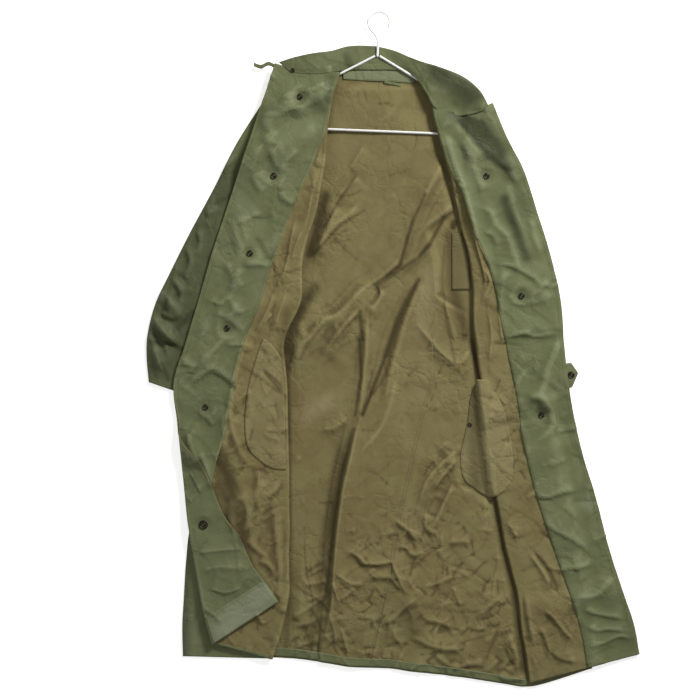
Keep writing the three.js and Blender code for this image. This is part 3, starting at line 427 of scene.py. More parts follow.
# Darker and paler places, each along a line: both ends, amount and half width. The dark ones are
# mostly painted shade in hollows beside folds and under edges, some are stains; the pale ones are
# worn places and painted light
BACK_STAINS_AND_SHADE = [
    (-112, 462, -120, 400, -0.5, 14), (-60, 400, 20, 300, -0.22, 90),
    (-121, 270, -135, 219, -0.85, 12), (-135, 219, -152, 164, -0.8, 7),
    (-140, 104, -165, 70, -0.7, 14), (-165, 70, -184, 36, -0.95, 14),
    (-184, 36, -192, -12, -0.9, 11), (-192, 0, -187, -174, -0.7, 6),
    (-186, -174, -185, -330, -0.5, 5), (-185, -330, -192, -550, -0.45, 9),
    # painted shade under the folds that cross the waist
    (57, 272, 38, 230, -0.75, 4), (38, 230, 27, 197, -0.8, 4), (27, 197, 12, 145, -0.85, 4.5),
    (12, 145, -13, 124, -0.85, 4), (-13, 124, -34, 110, -0.7, 4), (91, 230, 66, 183, -0.75, 5),
    (66, 183, 47, 161, -0.9, 5), (47, 161, 17, 140, -0.7, 5), (17, 140, -28, 109, -0.6, 4.5),
    (46, 118, 25, 81, -0.8, 7), (25, 81, 8, 44, -0.9, 8), (8, 44, -13, -18, -0.95, 7),
    (-13, -18, -38, -81, -0.8, 5), (-38, -81, -55, -123, -0.9, 5),
    (-63, 56, -85, 34, -0.6, 3.5), (-85, 34, -112, -2, -0.5, 3.5),
    (-126, 37, -151, 7, -0.5, 4), (-151, 7, -167, -23, -0.5, 4),
    (94, 183, 88, 122, -0.5, 5), (88, 122, 93, 65, -0.5, 4), (93, 65, 111, -31, -0.45, 4),
    (-60, 62, -55, 12, -0.7, 5),
    (-60, 12, -57, -55, -0.8, 4), (-57, -55, -68, -124, -0.7, 4),
    (-68, 304, -99, 258, -0.6, 4), (-99, 258, -121, 216, -0.6, 4),
    (-52, 244, -96, 216, -0.55, 3.5), (-96, 216, -143, 164, -0.6, 4),
    # painted shade along the long fold
    (-71, -150, -93, -230, -0.6, 5), (-93, -230, -107, -330, -0.6, 5),
    (-107, -330, -116, -413, -0.65, 5), (-116, -413, -128, -468, -0.65, 5),
    (-128, -468, -135, -560, -0.65, 5), (-94, -190, -118, -313, -0.4, 14),
    (-118, -313, -130, -457, -0.45, 14), (-130, -457, -152, -547, -0.5, 14),
    # painted shade beside the left front's fold, then other darker and paler places
    (102, 200, 106, 110, -0.6, 15), (110, 222, 108, 214, -1.0, 7), (110, 100, 130, 20, -0.65, 16),
    (140, 10, 158, -60, -0.75, 9), (181, -268, 197, -365, -0.7, 8),
    (197, -365, 216, -438, -0.7, 8), (216, -438, 234, -583, -0.7, 8),
    (22, -475, 40, -510, -0.5, 24), (75, -20, 104, -40, -0.35, 6),
    (-150, -125, -118, -100, 0.5, 20), (66, 130, 50, 20, 0.35, 24), (40, 0, 60, -120, 0.15, 40),
    (-60, 520, 90, 470, -0.3, 26), (90, -560, 190, -590, -0.2, 18),
]
# Painted shade in the hollows beside the inner fold; painted light low on the outer cloth by the
# side seam, and a paler hem on the turned corner
RIGHT_FRONT_STAINS_AND_SHADE = [
    (-368, -420, -368, -552, 0.4, 22),
    (-312, -190, -290, -270, -0.8, 18), (-290, -270, -268, -350, -0.6, 16),
    (-350, -400, -292, -444, -0.25, 26), (-300, -508, -226, -440, 0.5, 17),
    (-120, 400, -124, 350, -0.5, 10), (-190, 60, -200, -20, -0.5, 12),
]
# Painted shade under the lapel's folds and beside the inner fold, with paler worn places
RIGHT_FACING_STAINS_AND_SHADE = [
    (-140, 436, -126, 424, -0.6, 15), (-232, 424, -170, 416, -0.4, 12),
    (-275, 262, -262, 236, 0.3, 26), (-225, 300, -190, 330, 0.25, 26),
    (-345, -60, -330, -130, -0.25, 26), (-112, 480, -118, 440, -0.5, 12),
    (-240, 120, -290, 60, 0.15, 30),
]
LEFT_FRONT_STAINS = [
    (112, 250, 150, 100, -0.35, 12), (176, -250, 220, -380, -0.3, 14),
    (270, -470, 300, -560, -0.3, 24),
]
# Painted shade in the broad hollow along the lapel and down the chest, with a few darker and paler
# places
LEFT_FACING_STAINS_AND_SHADE = [
    (112, 416, 154, 392, -1.0, 17), (154, 392, 187, 347, -1.0, 20), (187, 347, 206, 316, -0.9, 12),
    (206, 316, 238, 240, -0.5, 16), (200, 262, 237, 160, -0.7, 13), (130, 350, 150, 290, 0.25, 16),
    (112, 412, 138, 384, -1.0, 8), (138, 384, 160, 357, -1.0, 9), (160, 357, 182, 335, -1.0, 9),
    (182, 335, 203, 316, -1.0, 8), (150, 372, 172, 344, -0.9, 14),
    (345, -276, 350, -290, 0.4, 13), (300, -60, 320, -150, -0.25, 18),
    (250, 30, 290, 15, -0.4, 8), (390, -470, 430, -540, -0.3, 16),
]
# Darker over the whole sleeve, with painted shade in its creases and beside the front's edge
SLEEVE_STAINS_AND_SHADE = [
    (-300, 300, -420, -20, -0.6, 90), (-392, 30, -356, 60, -0.95, 11),
    (-409, 7, -376, -6, -1.0, 7), (-318, 258, -292, 268, -0.9, 7),
    (-305, 200, -336, 118, -0.75, 12),
    (-415, -30, -404, -60, -0.8, 6), (-352, 110, -372, 80, -0.6, 7),
]
FLAP_HEM_STAINS = [(-300, -508, -226, -440, 0.7, 40)]
NECK_STAINS = [(-90, 488, 38, 486, 0.4, 30)]
# Painted shade over the pockets, which lie beside the left front's fold
POCKET_SHADE = [
    (112, 205, 116, 100, -0.5, 40), (140, -60, 150, -262, -0.5, 18),
]
# Painted shade on the collar where it rolls under and meets the lapel, with one paler place
COLLAR_STAINS_AND_SHADE = [
    (-200, 508, -40, 528, -0.35, 40), (10, 530, 70, 500, -0.4, 22), (76, 490, 140, 446, -0.9, 26),
    (112, 436, 150, 426, -0.6, 12), (-84, 520, -74, 500, -0.6, 14), (44, 484, 74, 432, 0.3, 9),
    (4, 522, 22, 506, -0.5, 14),
]


# Numbers

def step(low, high, x):
    f = np.clip((x - low) / (high - low), 0, 1)
    return f * f * (3 - 2 * f)


def mix(a, b, f):
    return a + (b - a) * f


def spline(values, t):
    """Smooth curve through evenly placed values, for t from 0 to 1."""
    p = np.asarray(values, float)
    last = len(p) - 1
    place = np.clip(t, 0, 1) * last
    k = np.minimum(place.astype(int), last - 1)
    f = place - k
    e = np.concatenate([[2 * p[0] - p[1]], p, [2 * p[-1] - p[-2]]])
    p0, p1, p2, p3 = e[k], e[k + 1], e[k + 2], e[k + 3]
    m1 = (p2 - p0) / 2
    m2 = (p3 - p1) / 2
    f2 = f * f
    f3 = f2 * f
    return ((2 * f3 - 3 * f2 + 1) * p1 + (f3 - 2 * f2 + f) * m1
            + (3 * f2 - 2 * f3) * p2 + (f3 - f2) * m2)


def columns(table, t):
    return [spline(table[:, k], t) for k in range(table.shape[1])]


def line_x(table, column, y):
    """x of a line that runs down the coat, at a given y."""
    t = np.linspace(0, 1, 1500)
    down = np.maximum.accumulate(-spline(table[:, column + 1], t))
    return np.interp(-y, down, spline(table[:, column], t))


def off_line(x, y, ax, ay, dx, dy):
    """How far points lie from a straight line, in x and y, and their share of its length."""
    share = np.clip(((x - ax) * dx + (y - ay) * dy) / (dx * dx + dy * dy), 0, 1)
    return x - ax - share * dx, y - ay - share * dy, share


def marks_of(table, x, y):
    """The strength of each mark of a table: full on its line, and less beside it."""
    for ax, ay, bx, by, amount, wide in table:
        gx, gy, _ = off_line(x, y, ax, ay, bx - ax, by - ay)
        yield amount * np.exp(-((np.hypot(gx, gy) / wide) ** 2))


def raised(table, x, y):
    total = np.zeros_like(x)
    for mark in marks_of(table, x, y):
        total = np.maximum(total, mark)
    return total


def stained_and_shaded(table, x, y):
    """Below 0 where darker and above 0 where paler."""
    darker = np.zeros_like(x)
    paler = np.zeros_like(x)
    for mark in marks_of(table, x, y):
        darker = np.minimum(darker, mark)
        paler = np.maximum(paler, mark)
    return darker + paler


def nearest(points, x, y):
    """Distance to a bent line, positive on its left, and the place along it from 0 to 1."""
    p = np.asarray(points, float)
    count = max(2, (len(p) - 1) * 3 + 1)
    t = np.linspace(0, 1, count)
    px, py = spline(p[:, 0], t), spline(p[:, 1], t)
    run = np.concatenate([[0], np.cumsum(np.hypot(np.diff(px), np.diff(py)))])
    best = np.full(x.shape, 1e9)
    side = np.ones(x.shape)
    place = np.zeros(x.shape)
    for k in range(count - 1):
        dx, dy = px[k + 1] - px[k], py[k + 1] - py[k]
        gx, gy, share = off_line(x, y, px[k], py[k], dx, dy)
        away = np.hypot(gx, gy)
        closer = away < best
        best = np.where(closer, away, best)
        side = np.where(closer, np.sign(dx * gy - dy * gx), side)
        reached = run[k] + share * math.hypot(dx, dy)
        place = np.where(closer, reached / run[-1], place)
    return best * side, place


def crease(out, x, y, points, rise, left, right, soft=0.5, ends=0.22):
    """Adds one crease to the heights in out."""
    p = np.asarray(points, float)
    reach = 4 * max(left, right)
    near = np.nonzero((x > p[:, 0].min() - reach) & (x < p[:, 0].max() + reach)
                      & (y > p[:, 1].min() - reach) & (y < p[:, 1].max() + reach))[0]
    if len(near) == 0:
        return
    away, place = nearest(points, x[near], y[near])
    wide = np.where(away > 0, left, right)
    fall = np.sqrt(away * away + soft * soft) - soft
    fade = step(0, ends, place) * step(0, ends, 1 - place)
    fade = LEFT_AT_ENDS + (1 - LEFT_AT_ENDS) * fade
    out[near] += rise * fade * np.exp(-fall / wide) * np.exp(-np.maximum(fall - 2 * wide, 0) / 6)


def creases(table, x, y):
    out = np.zeros_like(x)
    for points, rise, left, right in table:
        if max(left, right) <= SMALL_REACH:
            left, right = lean(points, rise, left, right)
        crease(out, x, y, points, rise, left, right)
    return out


def lean(points, rise, left, right):
    """Flanks of a small crease, which leans towards the hem: one is steep, one long."""
    dx, dy = points[-1][0] - points[0][0], points[-1][1] - points[0][1]
    up = (0.8 * dx - 0.6 * dy) * rise
    if up > 0:
        return left * LONG_FLANK, right * STEEP_FLANK
    return left * STEEP_FLANK, right * LONG_FLANK


def eased(share):
    return share ** 3 * (share * (share * 6 - 15) + 10)


def lattice(x, y, size, seed):
    """Smooth gradient noise, about -1 to 1, with hills of the given size."""
    shuffle = np.random.RandomState(seed)
    order = shuffle.permutation(256)
    angle = shuffle.rand(256) * 2 * np.pi
    gx, gy = x / size, y / size
    ix, iy = np.floor(gx).astype(int), np.floor(gy).astype(int)
    fx, fy = gx - ix, gy - iy
    total = 0
    for sx in (0, 1):
        for sy in (0, 1):
            a = angle[order[(order[(ix + sx) % 256] + iy + sy) % 256]]
            slope = np.cos(a) * (fx - sx) + np.sin(a) * (fy - sy)
            wx, wy = eased(1 - np.abs(fx - sx)), eased(1 - np.abs(fy - sy))
            total = total + wx * wy * slope
    return total * 1.5


def pleats(x, y, size, angle, seed):
    """Folds that follow one another along the angle, 0 to 1: each rises slowly, falls
    steeply, wanders, fades and comes back."""
    wx = x + 0.30 * size * lattice(x, y, size * 1.9, seed + 1)
    wy = y + 0.30 * size * lattice(x, y, size * 1.9, seed + 2)
    c, s = math.cos(angle), math.sin(angle)
    way = (wx * c + wy * s) / size + 0.6 * lattice(x, y, size * 2.6, seed + 3)
    part = way - np.floor(way)
    held = step(-0.15, 0.45, lattice(x * c + y * s, (y * c - x * s) * 0.5, size * 1.8, seed + 4))
    return np.minimum(part / 0.89, (1 - part) / 0.11) * held


def crumpled(x, y, size, turn, seed):
    """Folds of several directions laid over one another."""
    rise = pleats(x, y, size, turn, seed)
    rise += 0.8 * pleats(x, y, size * 0.83, turn + 0.8, seed + 10)
    rise += 0.8 * pleats(x, y, size * 0.71, turn - 0.9, seed + 20)
    rise += 0.5 * pleats(x, y, size * 0.47, turn + 1.3, seed + 30)
    rise += 0.4 * pleats(x, y, size * 0.41, turn - 0.3, seed + 40)
    return rise


def scattered(count, zone, rise, size, seed, slant=None, spread=1.6):
    """Short random creases inside a box of the plan."""
    draw = random.Random(seed)
    found = []
    for _ in range(count):
        cx, cy = draw.uniform(zone[0], zone[2]), draw.uniform(zone[1], zone[3])
        angle = draw.uniform(0, math.pi) if slant is None else slant + draw.gauss(0, spread)
        length = draw.uniform(0.5, 1.5) * size
        bend = draw.uniform(-0.25, 0.25) * length
        dx, dy = math.cos(angle) * length / 2, math.sin(angle) * length / 2
        points = [(cx - dx, cy - dy), (cx - dy * bend / length, cy + dx * bend / length),
                  (cx + dx, cy + dy)]
        high = draw.uniform(0.4, 1.0) * rise * draw.choice((1, 0.8, -0.8, -1))
        found.append((points, high, draw.uniform(3, 8), draw.uniform(3, 8)))
    return found


# Layer heights

def hanger_rise(y):
    return HANGER_LIFT * step(205, 368, y)


def middle_height(y):
    return MIDDLE_HEIGHT + hanger_rise(y)


def clear_of_studs(x, y):
    free = np.ones_like(x)
    for sx, sy in STUDS.values():
        free = np.minimum(free, step(4, 20, np.hypot(x - sx, y - sy)))
    return free


# How much of the creases' rise the cloth takes, and the height that they start from
FRONT_CREASES_GAIN = 1.35
FRONT_BASE = 1.6
BACK_CREASES_GAIN = 1.9
BACK_BASE = 2.2

# Short creases: how many, in which box of the plan, their rise, length and seed
RIGHT_SCATTER = (scattered(60, (-390, -560, -190, 500), 1.6, 46, 3)
                 + scattered(46, (-300, -560, -185, -60), 1.5, 30, 4))
LEFT_SCATTER = (scattered(60, (90, -590, 430, 430), 1.6, 46, 5)
                + scattered(46, (150, -590, 360, -60), 1.5, 30, 6))
BACK_SCATTER = (scattered(90, (-190, -560, 180, 480), 1.2, 42, 7)
                + scattered(170, (-160, -600, 240, -330), 1.9, 34, 8)
                + scattered(60, (60, -330, 170, 60), 1.4, 34, 9))


def slack(rise):
    """Keeps heights from going below the layer underneath, without a hard line."""
    return 0.5 * (rise + np.sqrt(rise * rise + 0.5))


def front_relief(table, scatter, seed, x, y):
    """Heights over a front's flat: its creases, a broad swell, long folds and a crumple
    that is stronger in patches."""
    rise = creases(table, x, y) + creases(scatter, x, y)
    patch = step(-0.1, 0.5, lattice(x, y, 110, seed + 5))
    rise = FRONT_CREASES_GAIN * rise + FRONT_BASE + 1.7 * lattice(x, y, 100, seed)
    rise += 0.9 * pleats(x, y, 96, 3.6, seed + 1)
    rise += (0.7 + 0.9 * patch) * crumpled(x, y, 54, 4.2, seed + 200)
    return slack(rise) * clear_of_studs(x, y)


def right_relief(x, y):
    return front_relief(RIGHT_FRONT_CREASES, RIGHT_SCATTER, 21, x, y)


def left_relief(x, y):
    return front_relief(LEFT_FRONT_CREASES, LEFT_SCATTER, 31, x, y)


def right_top(x, y):
    """Height of the right front's upper layer, over the sleeve and over its lower layer."""
    inside = x - line_x(FRONT_RIGHT, 0, y)
    cuff = -65 - 0.35 * (x + 439)
    on_sleeve = RIGHT_SLEEVE_COVER * step(-45, -5, y - cuff)
    on_middle = FOLD_RISE * step(-30, 0, inside)
    return (FREE_HEIGHT + hanger_rise(y) + np.maximum(on_sleeve, on_middle)
            + raised(RIGHT_FRONT_FOLDS, x, y) + right_relief(x, y))


def left_top(x, y):
    """Height of the left front's upper layer, over the sleeve and over its lower layer."""
    inside = line_x(FRONT_LEFT, 0, y) - x
    past = x - line_x(SLEEVE_LEFT, 2, np.minimum(y, 205))
    cuff = -47 + 0.277 * (x - 304)
    on_sleeve = LEFT_SLEEVE_COVER * step(-40, -8, past) * step(-100, -38, y - cuff)
    on_middle = FOLD_RISE * step(-30, 0, inside)
    return (FREE_HEIGHT + hanger_rise(y) + np.maximum(on_sleeve, on_middle)
            + raised(LEFT_FRONT_FOLDS, x, y) + left_relief(x, y))


def hanger_distance(x, y):
    """Distance from a point of the plan to the hanger's wire."""
    c, s = math.cos(HANGER_TURN), math.sin(HANGER_TURN)
    hx = (x - HANGER_X) * c + (y - HANGER_Y) * s
    hy = (y - HANGER_Y) * c - (x - HANGER_X) * s
    arm = np.abs(hy + ARM_SLOPE * np.abs(hx)) / math.hypot(1, ARM_SLOPE)
    bar = np.abs(hy + BAR_DROP)
    return np.minimum(arm, bar)


def back_relief(x, y):
    """Heights over the back's flat. The back is most crumpled near the hem, lies flat
    under the fronts and beside the pockets, and stays clear of the hanger."""
    from_right = x - line_x(FRONT_RIGHT, 2, y)
    from_left = line_x(FRONT_LEFT, 2, y) - x
    bag = np.interp(y, *BAG_CLEAR)
    beside = bag + 50 * step(50, 95, y) * step(250, 208, y)
    low = step(-280, -400, y)
    patch = step(-0.1, 0.5, lattice(x, y, 130, 16))
    rise = BACK_BASE + (BACK_CREASES_GAIN - 0.5 * low) * creases(BACK_CREASES, x, y)
    rise += (1.0 + 0.2 * low) * creases(BACK_SCATTER, x, y)
    rise += 2.4 * lattice(x, y, 120, 11)
    rise += (0.5 + 0.4 * patch) * pleats(x, y, 84, 3.5, 12)
    rise += (0.5 + 0.5 * patch + 1.0 * low) * crumpled(x, y, 72, 4.0, 110)
    mask = step(2, 26, from_right) * step(beside - 4, beside + 14, from_left)
    mask *= 1 - 0.85 * step(462, 476, y)
    rise = slack(rise) * mask
    room = 2.6 + 0.35 * np.maximum(hanger_distance(x, y) - 5, 0)
    return np.where(y > 360, np.minimum(rise, room), rise)


# Cloth pieces

def add_piece(mesh, name):
    piece = bpy.data.objects.new(name, mesh)
    bpy.context.scene.collection.objects.link(piece)
    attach(piece, "root")
    return piece


def finish_mesh(form, name, smooth=True):
    mesh = bpy.data.meshes.new(name)
    form.to_mesh(mesh)
    form.free()
    if smooth:
        mesh.polygons.foreach_set("use_smooth", [True] * len(mesh.polygons))
    return mesh


NARROW_ROUNDS = 6
BROAD_ROUNDS = 90


def spread_out(field, rounds):
    """Heights evened out with their neighbours, as many times as rounds says."""
    for _ in range(rounds):
        wide = np.pad(field, 1, mode="edge")
        field = (wide[:-2, 1:-1] + wide[2:, 1:-1] + wide[1:-1, :-2] + wide[1:-1, 2:]
                 + 2 * field) / 6
    return field


def crest_share(grid, z):
    """0 in the hollows, a half on the flat and 1 on the crests, for each grid point."""
    order = np.lexsort((np.round(grid[:, 0], 5), np.round(grid[:, 1], 5)))
    across = len(np.unique(np.round(grid[:, 0], 5)))
    field = z[order].reshape(-1, across)
    narrow = field - spread_out(field, NARROW_ROUNDS)
    broad = field - spread_out(field, BROAD_ROUNDS)
    share = 0.5 + np.clip(narrow, -0.5, 0.5) * 0.7 + np.clip(broad / 7, -0.5, 0.5) * 0.3
    found = np.empty(len(z))
    found[order] = share.ravel()
    return found


def lay_cloth(name, cells, place, wall, looks, flat, flip=False, tube=False, stains=()):
    """A grid of cloth moved to its place, which takes u and v from 0 to 1 to plan points.
    Its vertices keep how high they lie, from which come the painted shade in hollows and painted
    highlight on crests, and their marks of stain and painted shade, for its finish."""
    form = bmesh.new()
    uv = form.loops.layers.uv.new("cloth")
    bmesh.ops.create_grid(form, x_segments=cells[0], y_segments=cells[1], size=0.5,
                          calc_uvs=False)
    grid = np.array([v.co[:] for v in form.verts])
    u, v = grid[:, 0] + 0.5, grid[:, 1] + 0.5
    x, y, z = place(u, v)
    for face in form.faces:
        for loop in face.loops:
            k = loop.vert.index
            loop[uv].uv = (u[k] * flat[0], v[k] * flat[1])
    spots = np.column_stack([(x + PLAN_X) * MM, (y + PLAN_Y) * MM, z * MM])
    relief = form.verts.layers.float.new("relief")
    # Marks of stains and painted shade in hollows and beside folds, and of wear and painted light
    stain = form.verts.layers.float.new("stain")
    crests = crest_share(grid, z)
    marks = stained_and_shaded(stains, x, y)
    for vert, spot, share, mark in zip(form.verts, spots, crests, marks):
        vert.co = spot
        vert[relief] = share
        vert[stain] = mark
    if tube:
        bmesh.ops.remove_doubles(form, verts=form.verts, dist=1e-6)
    if flip:
        bmesh.ops.reverse_faces(form, faces=form.faces)
    piece = add_piece(finish_mesh(form, name), name)
    for look in looks:
        piece.data.materials.append(look)
    shell = piece.modifiers.new("wall", "SOLIDIFY")
    shell.thickness = wall * MM
    shell.offset = 0
    shell.material_offset = len(looks) - 1
    shell.material_offset_rim = 0
    return piece


# Strip places between which the facing's seam lies, where it leaves the inner fold, how
# far round the fold it goes, and how fast
SEAM_LIMITS = (1.9, 2.88)
FOLD_END = 2.08
HALF_ROUND = 1.6
ROUND_FOLD_PACE = 3


def curled_edge(flap, degrees):
    """Angle of a front's edge strip, the length of its flat part, and its reach outwards."""
    curl = np.radians(np.clip(degrees, 0, 180))
    rest = np.maximum(EDGE_STRIP, flap - FLAP_RADIUS)
    lying = FLAP_RADIUS * np.sin(curl) + rest * np.cos(curl)
    return curl, rest, np.where(curl < np.pi / 2, lying, FLAP_RADIUS)


def by_part(c, under, fold, over, turned):
    """Picks from the four parts of a front by the strip place c."""
    return np.where(c <= 1, under, np.where(c < 2, fold, np.where(c <= 3, over, turned)))


def front_points(table, top, c, t):
    """Plan points of a front: 0 to 1 from side seam to inner fold, 1 to 2 round the fold,
    2 to 3 over the top layer, 3 to 4 round and along the turned corner."""
    sx, sy, fx, fy, ex, ey, bow, _, flap, curl, turn = columns(table, t)
    fx = fx + FOLD_WANDER * lattice(1100 * t, 0 * t + 40, 74, 71)
    length = np.hypot(ex - fx, ey - fy)
    ox, oy = (ex - fx) / length, (ey - fy) / length
    low = middle_height(fy)
    high = top(fx, fy)
    radius = (high - low) / 2
    tx, ty = fx + ox * radius, fy + oy * radius
    curl, rest, reach = curled_edge(flap, curl)
    bx, by = ex - ox * reach, ey - oy * reach
    angle = np.radians(turn)

    mx, my = mix(sx, tx, c), mix(sy, ty, c)
    mz = mix(middle_height(my), low, step(0.6, 1, c))
    a = (c - 1.5) * np.pi
    ax, ay = tx - ox * radius * np.cos(a), ty - oy * radius * np.cos(a)
    az = (low + high) / 2 + radius * np.sin(a)
    f = np.clip(c - 2, 0, 1)
    lx, ly = mix(tx, bx, f), mix(ty, by, f) + bow * np.sin(np.pi * f)
    lz = mix(high, top(lx, ly), step(0, 0.08, f))
    gone = np.maximum(c - 3, 0) * (FLAP_RADIUS * curl + rest)
    bend = np.minimum(gone, FLAP_RADIUS * curl) / FLAP_RADIUS
    past = gone - bend * FLAP_RADIUS
    over = curl > np.pi / 2
    level = past * np.cos(curl)
    qx = bx + ox * FLAP_RADIUS * np.sin(bend) + level * np.where(over, -np.cos(angle), ox)
    qy = by + oy * FLAP_RADIUS * np.sin(bend) + level * np.where(over, -np.sin(angle), oy)
    qz = top(qx, qy) + FLAP_RADIUS * (1 - np.cos(bend)) + past * np.sin(curl)
    return (by_part(c, mx, ax, lx, qx), by_part(c, my, ay, ly, qy),
            by_part(c, mz, az, lz, qz))


def seam_place(table, top, t):
    """Strip place of the facing's inner seam."""
    _, _, fx, fy, ex, ey, _, wide, flap, curl, _ = columns(table, t)
    length = np.hypot(ex - fx, ey - fy)
    radius = (top(fx, fy) - middle_height(fy)) / 2
    curl, rest, reach = curled_edge(flap, curl)
    way = wide - FLAP_RADIUS * curl - rest
    return np.clip(3 - way / (length - radius - reach), *SEAM_LIMITS)


def front_place(table, top, marks, until):
    """marks gives the share of the grid's width at which these lie: side seam, start and
    end of the inner fold, the facing's seam, the front edge and the end of the strip. The
    cloth dips a little under its facing, which ends at the row until."""
    def place(u, v):
        seam = seam_place(table, top, v)
        ends = [0 * v, 0 * v + 1, 0 * v + 2, seam, 0 * v + 3, 0 * v + 4]
        c = ends[0]
        for k in range(5):
            part = np.clip((u - marks[k]) / (marks[k + 1] - marks[k]), 0, 1)
            c = np.where(u > marks[k], mix(ends[k], ends[k + 1], part), c)
        x, y, z = front_points(table, top, c, v)
        start = np.maximum(facing_seam(table, top, v), 2.0)
        under = step(start + 0.02, start + 0.06, c) * step(until, until - 0.04, v)
        # where the facing goes round the edge, the edge itself doesn't dip
        wrapped = step(2.97, 3.0, c) * step(0.50, 0.53, v) * (until < 1)
        under *= 1 - wrapped
        return x, y, z - FACING_DIP * under
    return place


def off_front(table, top, c, t, lift):
    """Points of a front moved off its cloth along its normal."""
    back = np.where(t > 0.5, -1, 1)
    spot = np.array(front_points(table, top, c, t))
    across = np.array(front_points(table, top, c + 0.004, t)) - spot
    along = (np.array(front_points(table, top, c, t + 0.0015 * back)) - spot) * back
    normal = np.cross(across, along, axis=0)
    normal *= np.sign(np.median(normal[2])) / np.linalg.norm(normal, axis=0)
    return spot + normal * lift


def facing_seam(table, top, t):
    """Strip place of the facing's inner edge, which goes round the fold at the lapel."""
    seam = seam_place(table, top, t)
    round_fold = FOLD_END - (FOLD_END - seam) * ROUND_FOLD_PACE
    return np.where(seam < FOLD_END, np.maximum(HALF_ROUND, round_fold), seam)


def facing_place(table, top, rows, wrap, lift):
    """Strip sewn on a front from its inner seam to the front edge. Below the row wrap it
    goes round the edge with the turned corner."""
    def place(u, v):
        t = v * rows
        c = mix(facing_seam(table, top, t), 4 - 0.5 * step(wrap, wrap + 0.06, t), u)
        return tuple(off_front(table, top, c, t, lift))
    return place


def right_hem_place(u, v):
    """Turned-up hem at the foot of the right front, from the inner fold outwards."""
    t = mix(0.9925, 0.9995, v)
    x, y, z = front_points(FRONT_RIGHT, right_top, mix(2.03, 2.96, u), t)
    return x, y, z + FRONT_HEM_ON


def flap_band_place(u, v):
    """Turned-up hem of the corner that lies folded over."""
    c, t = mix(3.08, 3.985, u), mix(0.921, 0.998, v)
    x, y, z = front_points(FRONT_RIGHT, right_top, c, t)
    return x, y, z + FRONT_HEM_ON


def back_plan(u, v):
    side = columns(BACK_SIDES, v)
    top = columns(BACK_TOP, u)
    hem = columns(BACK_HEM, u)
    first, last = BACK_SIDES[0], BACK_SIDES[-1]
    return [mix(top[k], hem[k], v) + mix(side[k], side[k + 2], u)
            - mix(mix(first[k], first[k + 2], u), mix(last[k], last[k + 2], u), v)
            for k in (0, 1)]


def share_at(line, v):
    """Share of the back's width at which a line of the plan crosses each row."""
    rows = np.linspace(0, 1, 160)
    across = np.linspace(0, 1, 160)
    found = []
    for row in rows:
        x, y = back_plan(across, np.full_like(across, row))
        found.append(np.interp(0, x - line(y), across))
    return np.interp(v, rows, found)


def right_fold_line(y):
    return line_x(FRONT_RIGHT, 2, y) - 4


def left_fold_line(y):
    return line_x(FRONT_LEFT, 2, y) + 4


def centre_line(y):
    return line_x(CENTRE_SEAM, 0, y)


def back_half_place(first, last, hidden, shown):
    """Half of the back between two lines, with most of its columns and rows where it is
    creased."""
    def place(u, v):
        v = np.interp(v, *BACK_ROWS)
        rows = np.unique(v)
        pick = np.searchsorted(rows, v)
        a, b, c = (np.asarray(line(rows))[pick] for line in (first, hidden, last))
        share = np.where(u < shown, mix(a, b, u / shown), mix(b, c, (u - shown) / (1 - shown)))
        x, y = back_plan(share, v)
        return x, y, BACK_HEIGHT + back_relief(x, y)
    return place


def hem_band_place(u, v):
    x, y = back_plan(mix(0.002, 0.998, u), mix(0.986, 0.9985, v))
    return x, y, BACK_HEIGHT + back_relief(x, y) + HEM_ON


def sleeve_place(table, base, relief):
    def place(u, v):
        angle = 2 * np.pi * u
        ox, oy, ix, iy, bow = columns(table, v)
        f = (1 - np.cos(angle)) / 2
        x = mix(ox, ix, f) + bow * np.sin(np.pi * f)
        y = mix(oy, iy, f)
        lift = np.clip(np.sin(angle) / math.sin(math.pi / 8), -1, 1)
        lift = np.sin(lift * np.pi / 2)
        rise = np.maximum(lift, 0) * relief(x, y)
        return x, y, base(y) + SLEEVE_HALF_GAP * (1 + lift) + rise
    return place


def right_sleeve_relief(x, y):
    clear = line_x(FRONT_RIGHT, 4, y) - x
    rise = raised(RIGHT_SLEEVE_FOLDS, x, y) + 1.9 * creases(RIGHT_SLEEVE_CREASES, x, y)
    rise += 1.0 + 2.6 * crumpled(x, y, 50, 4.0, 41)
    return np.maximum(rise, 0) * step(10, 34, clear)


def left_sleeve_relief(x, y):
    clear = x - line_x(FRONT_LEFT, 4, y)
    return 1.5 * step(2, 14, clear)


def collar_place(u, v):
    ox, oy, nx, ny, high = columns(COLLAR, u)
    x, y = mix(ox, nx, v), mix(oy, ny, v)
    clear = step(6, 40, np.abs(x - HANGER_X))
    roll = (1.6 * np.sin(np.pi * v) + 1.2 * crumpled(x, y, 46, 4.4, 51)) * clear
    z = high + roll * step(0, 0.04, u) * step(0, 0.04, 1 - u) * step(0, 0.3, 1 - v)
    on_left = step(58, 72, x) * step(446, 438, y)
    on_right = step(-100, -114, x) * step(506, 500, y)
    # the inner end settles on the lapel and goes into it beside the fold
    lapel = left_top(x, y) + COLLAR_ON
    settled = step(466, 424, y) * step(150, 104, x) * step(40, 60, x)
    sunk = step(431, 417, y) * step(140, 94, x) * step(40, 60, x)
    z = mix(z, np.minimum(z, lapel), settled)
    z = np.maximum(z, lapel * on_left) - COLLAR_SINK * sunk
    return x, y, np.maximum(z, (right_top(x, y) + COLLAR_ON) * on_right)


def neck_facing_place(u, v):
    x = mix(-90, 38, u)
    top = spline([492, 496, 497, 499, 497, 482], u)
    low = spline([480, 478, 476.5, 475.5, 474, 472], u)
    y = mix(top, low, v)
    return x, y, NECK_HEIGHT + 0.3 * crumpled(x, y, 30, 4.2, 61)


def hang_loop_place(u, v):
    x = spline([-16, -6, 4, 12, 22], u)
    y = spline([477, 475, 473.5, 470, 461], u) - mix(0, 5, v)
    return x, y, spline([4.1, 4.1, 4.1, 3.4, 2.4], u)


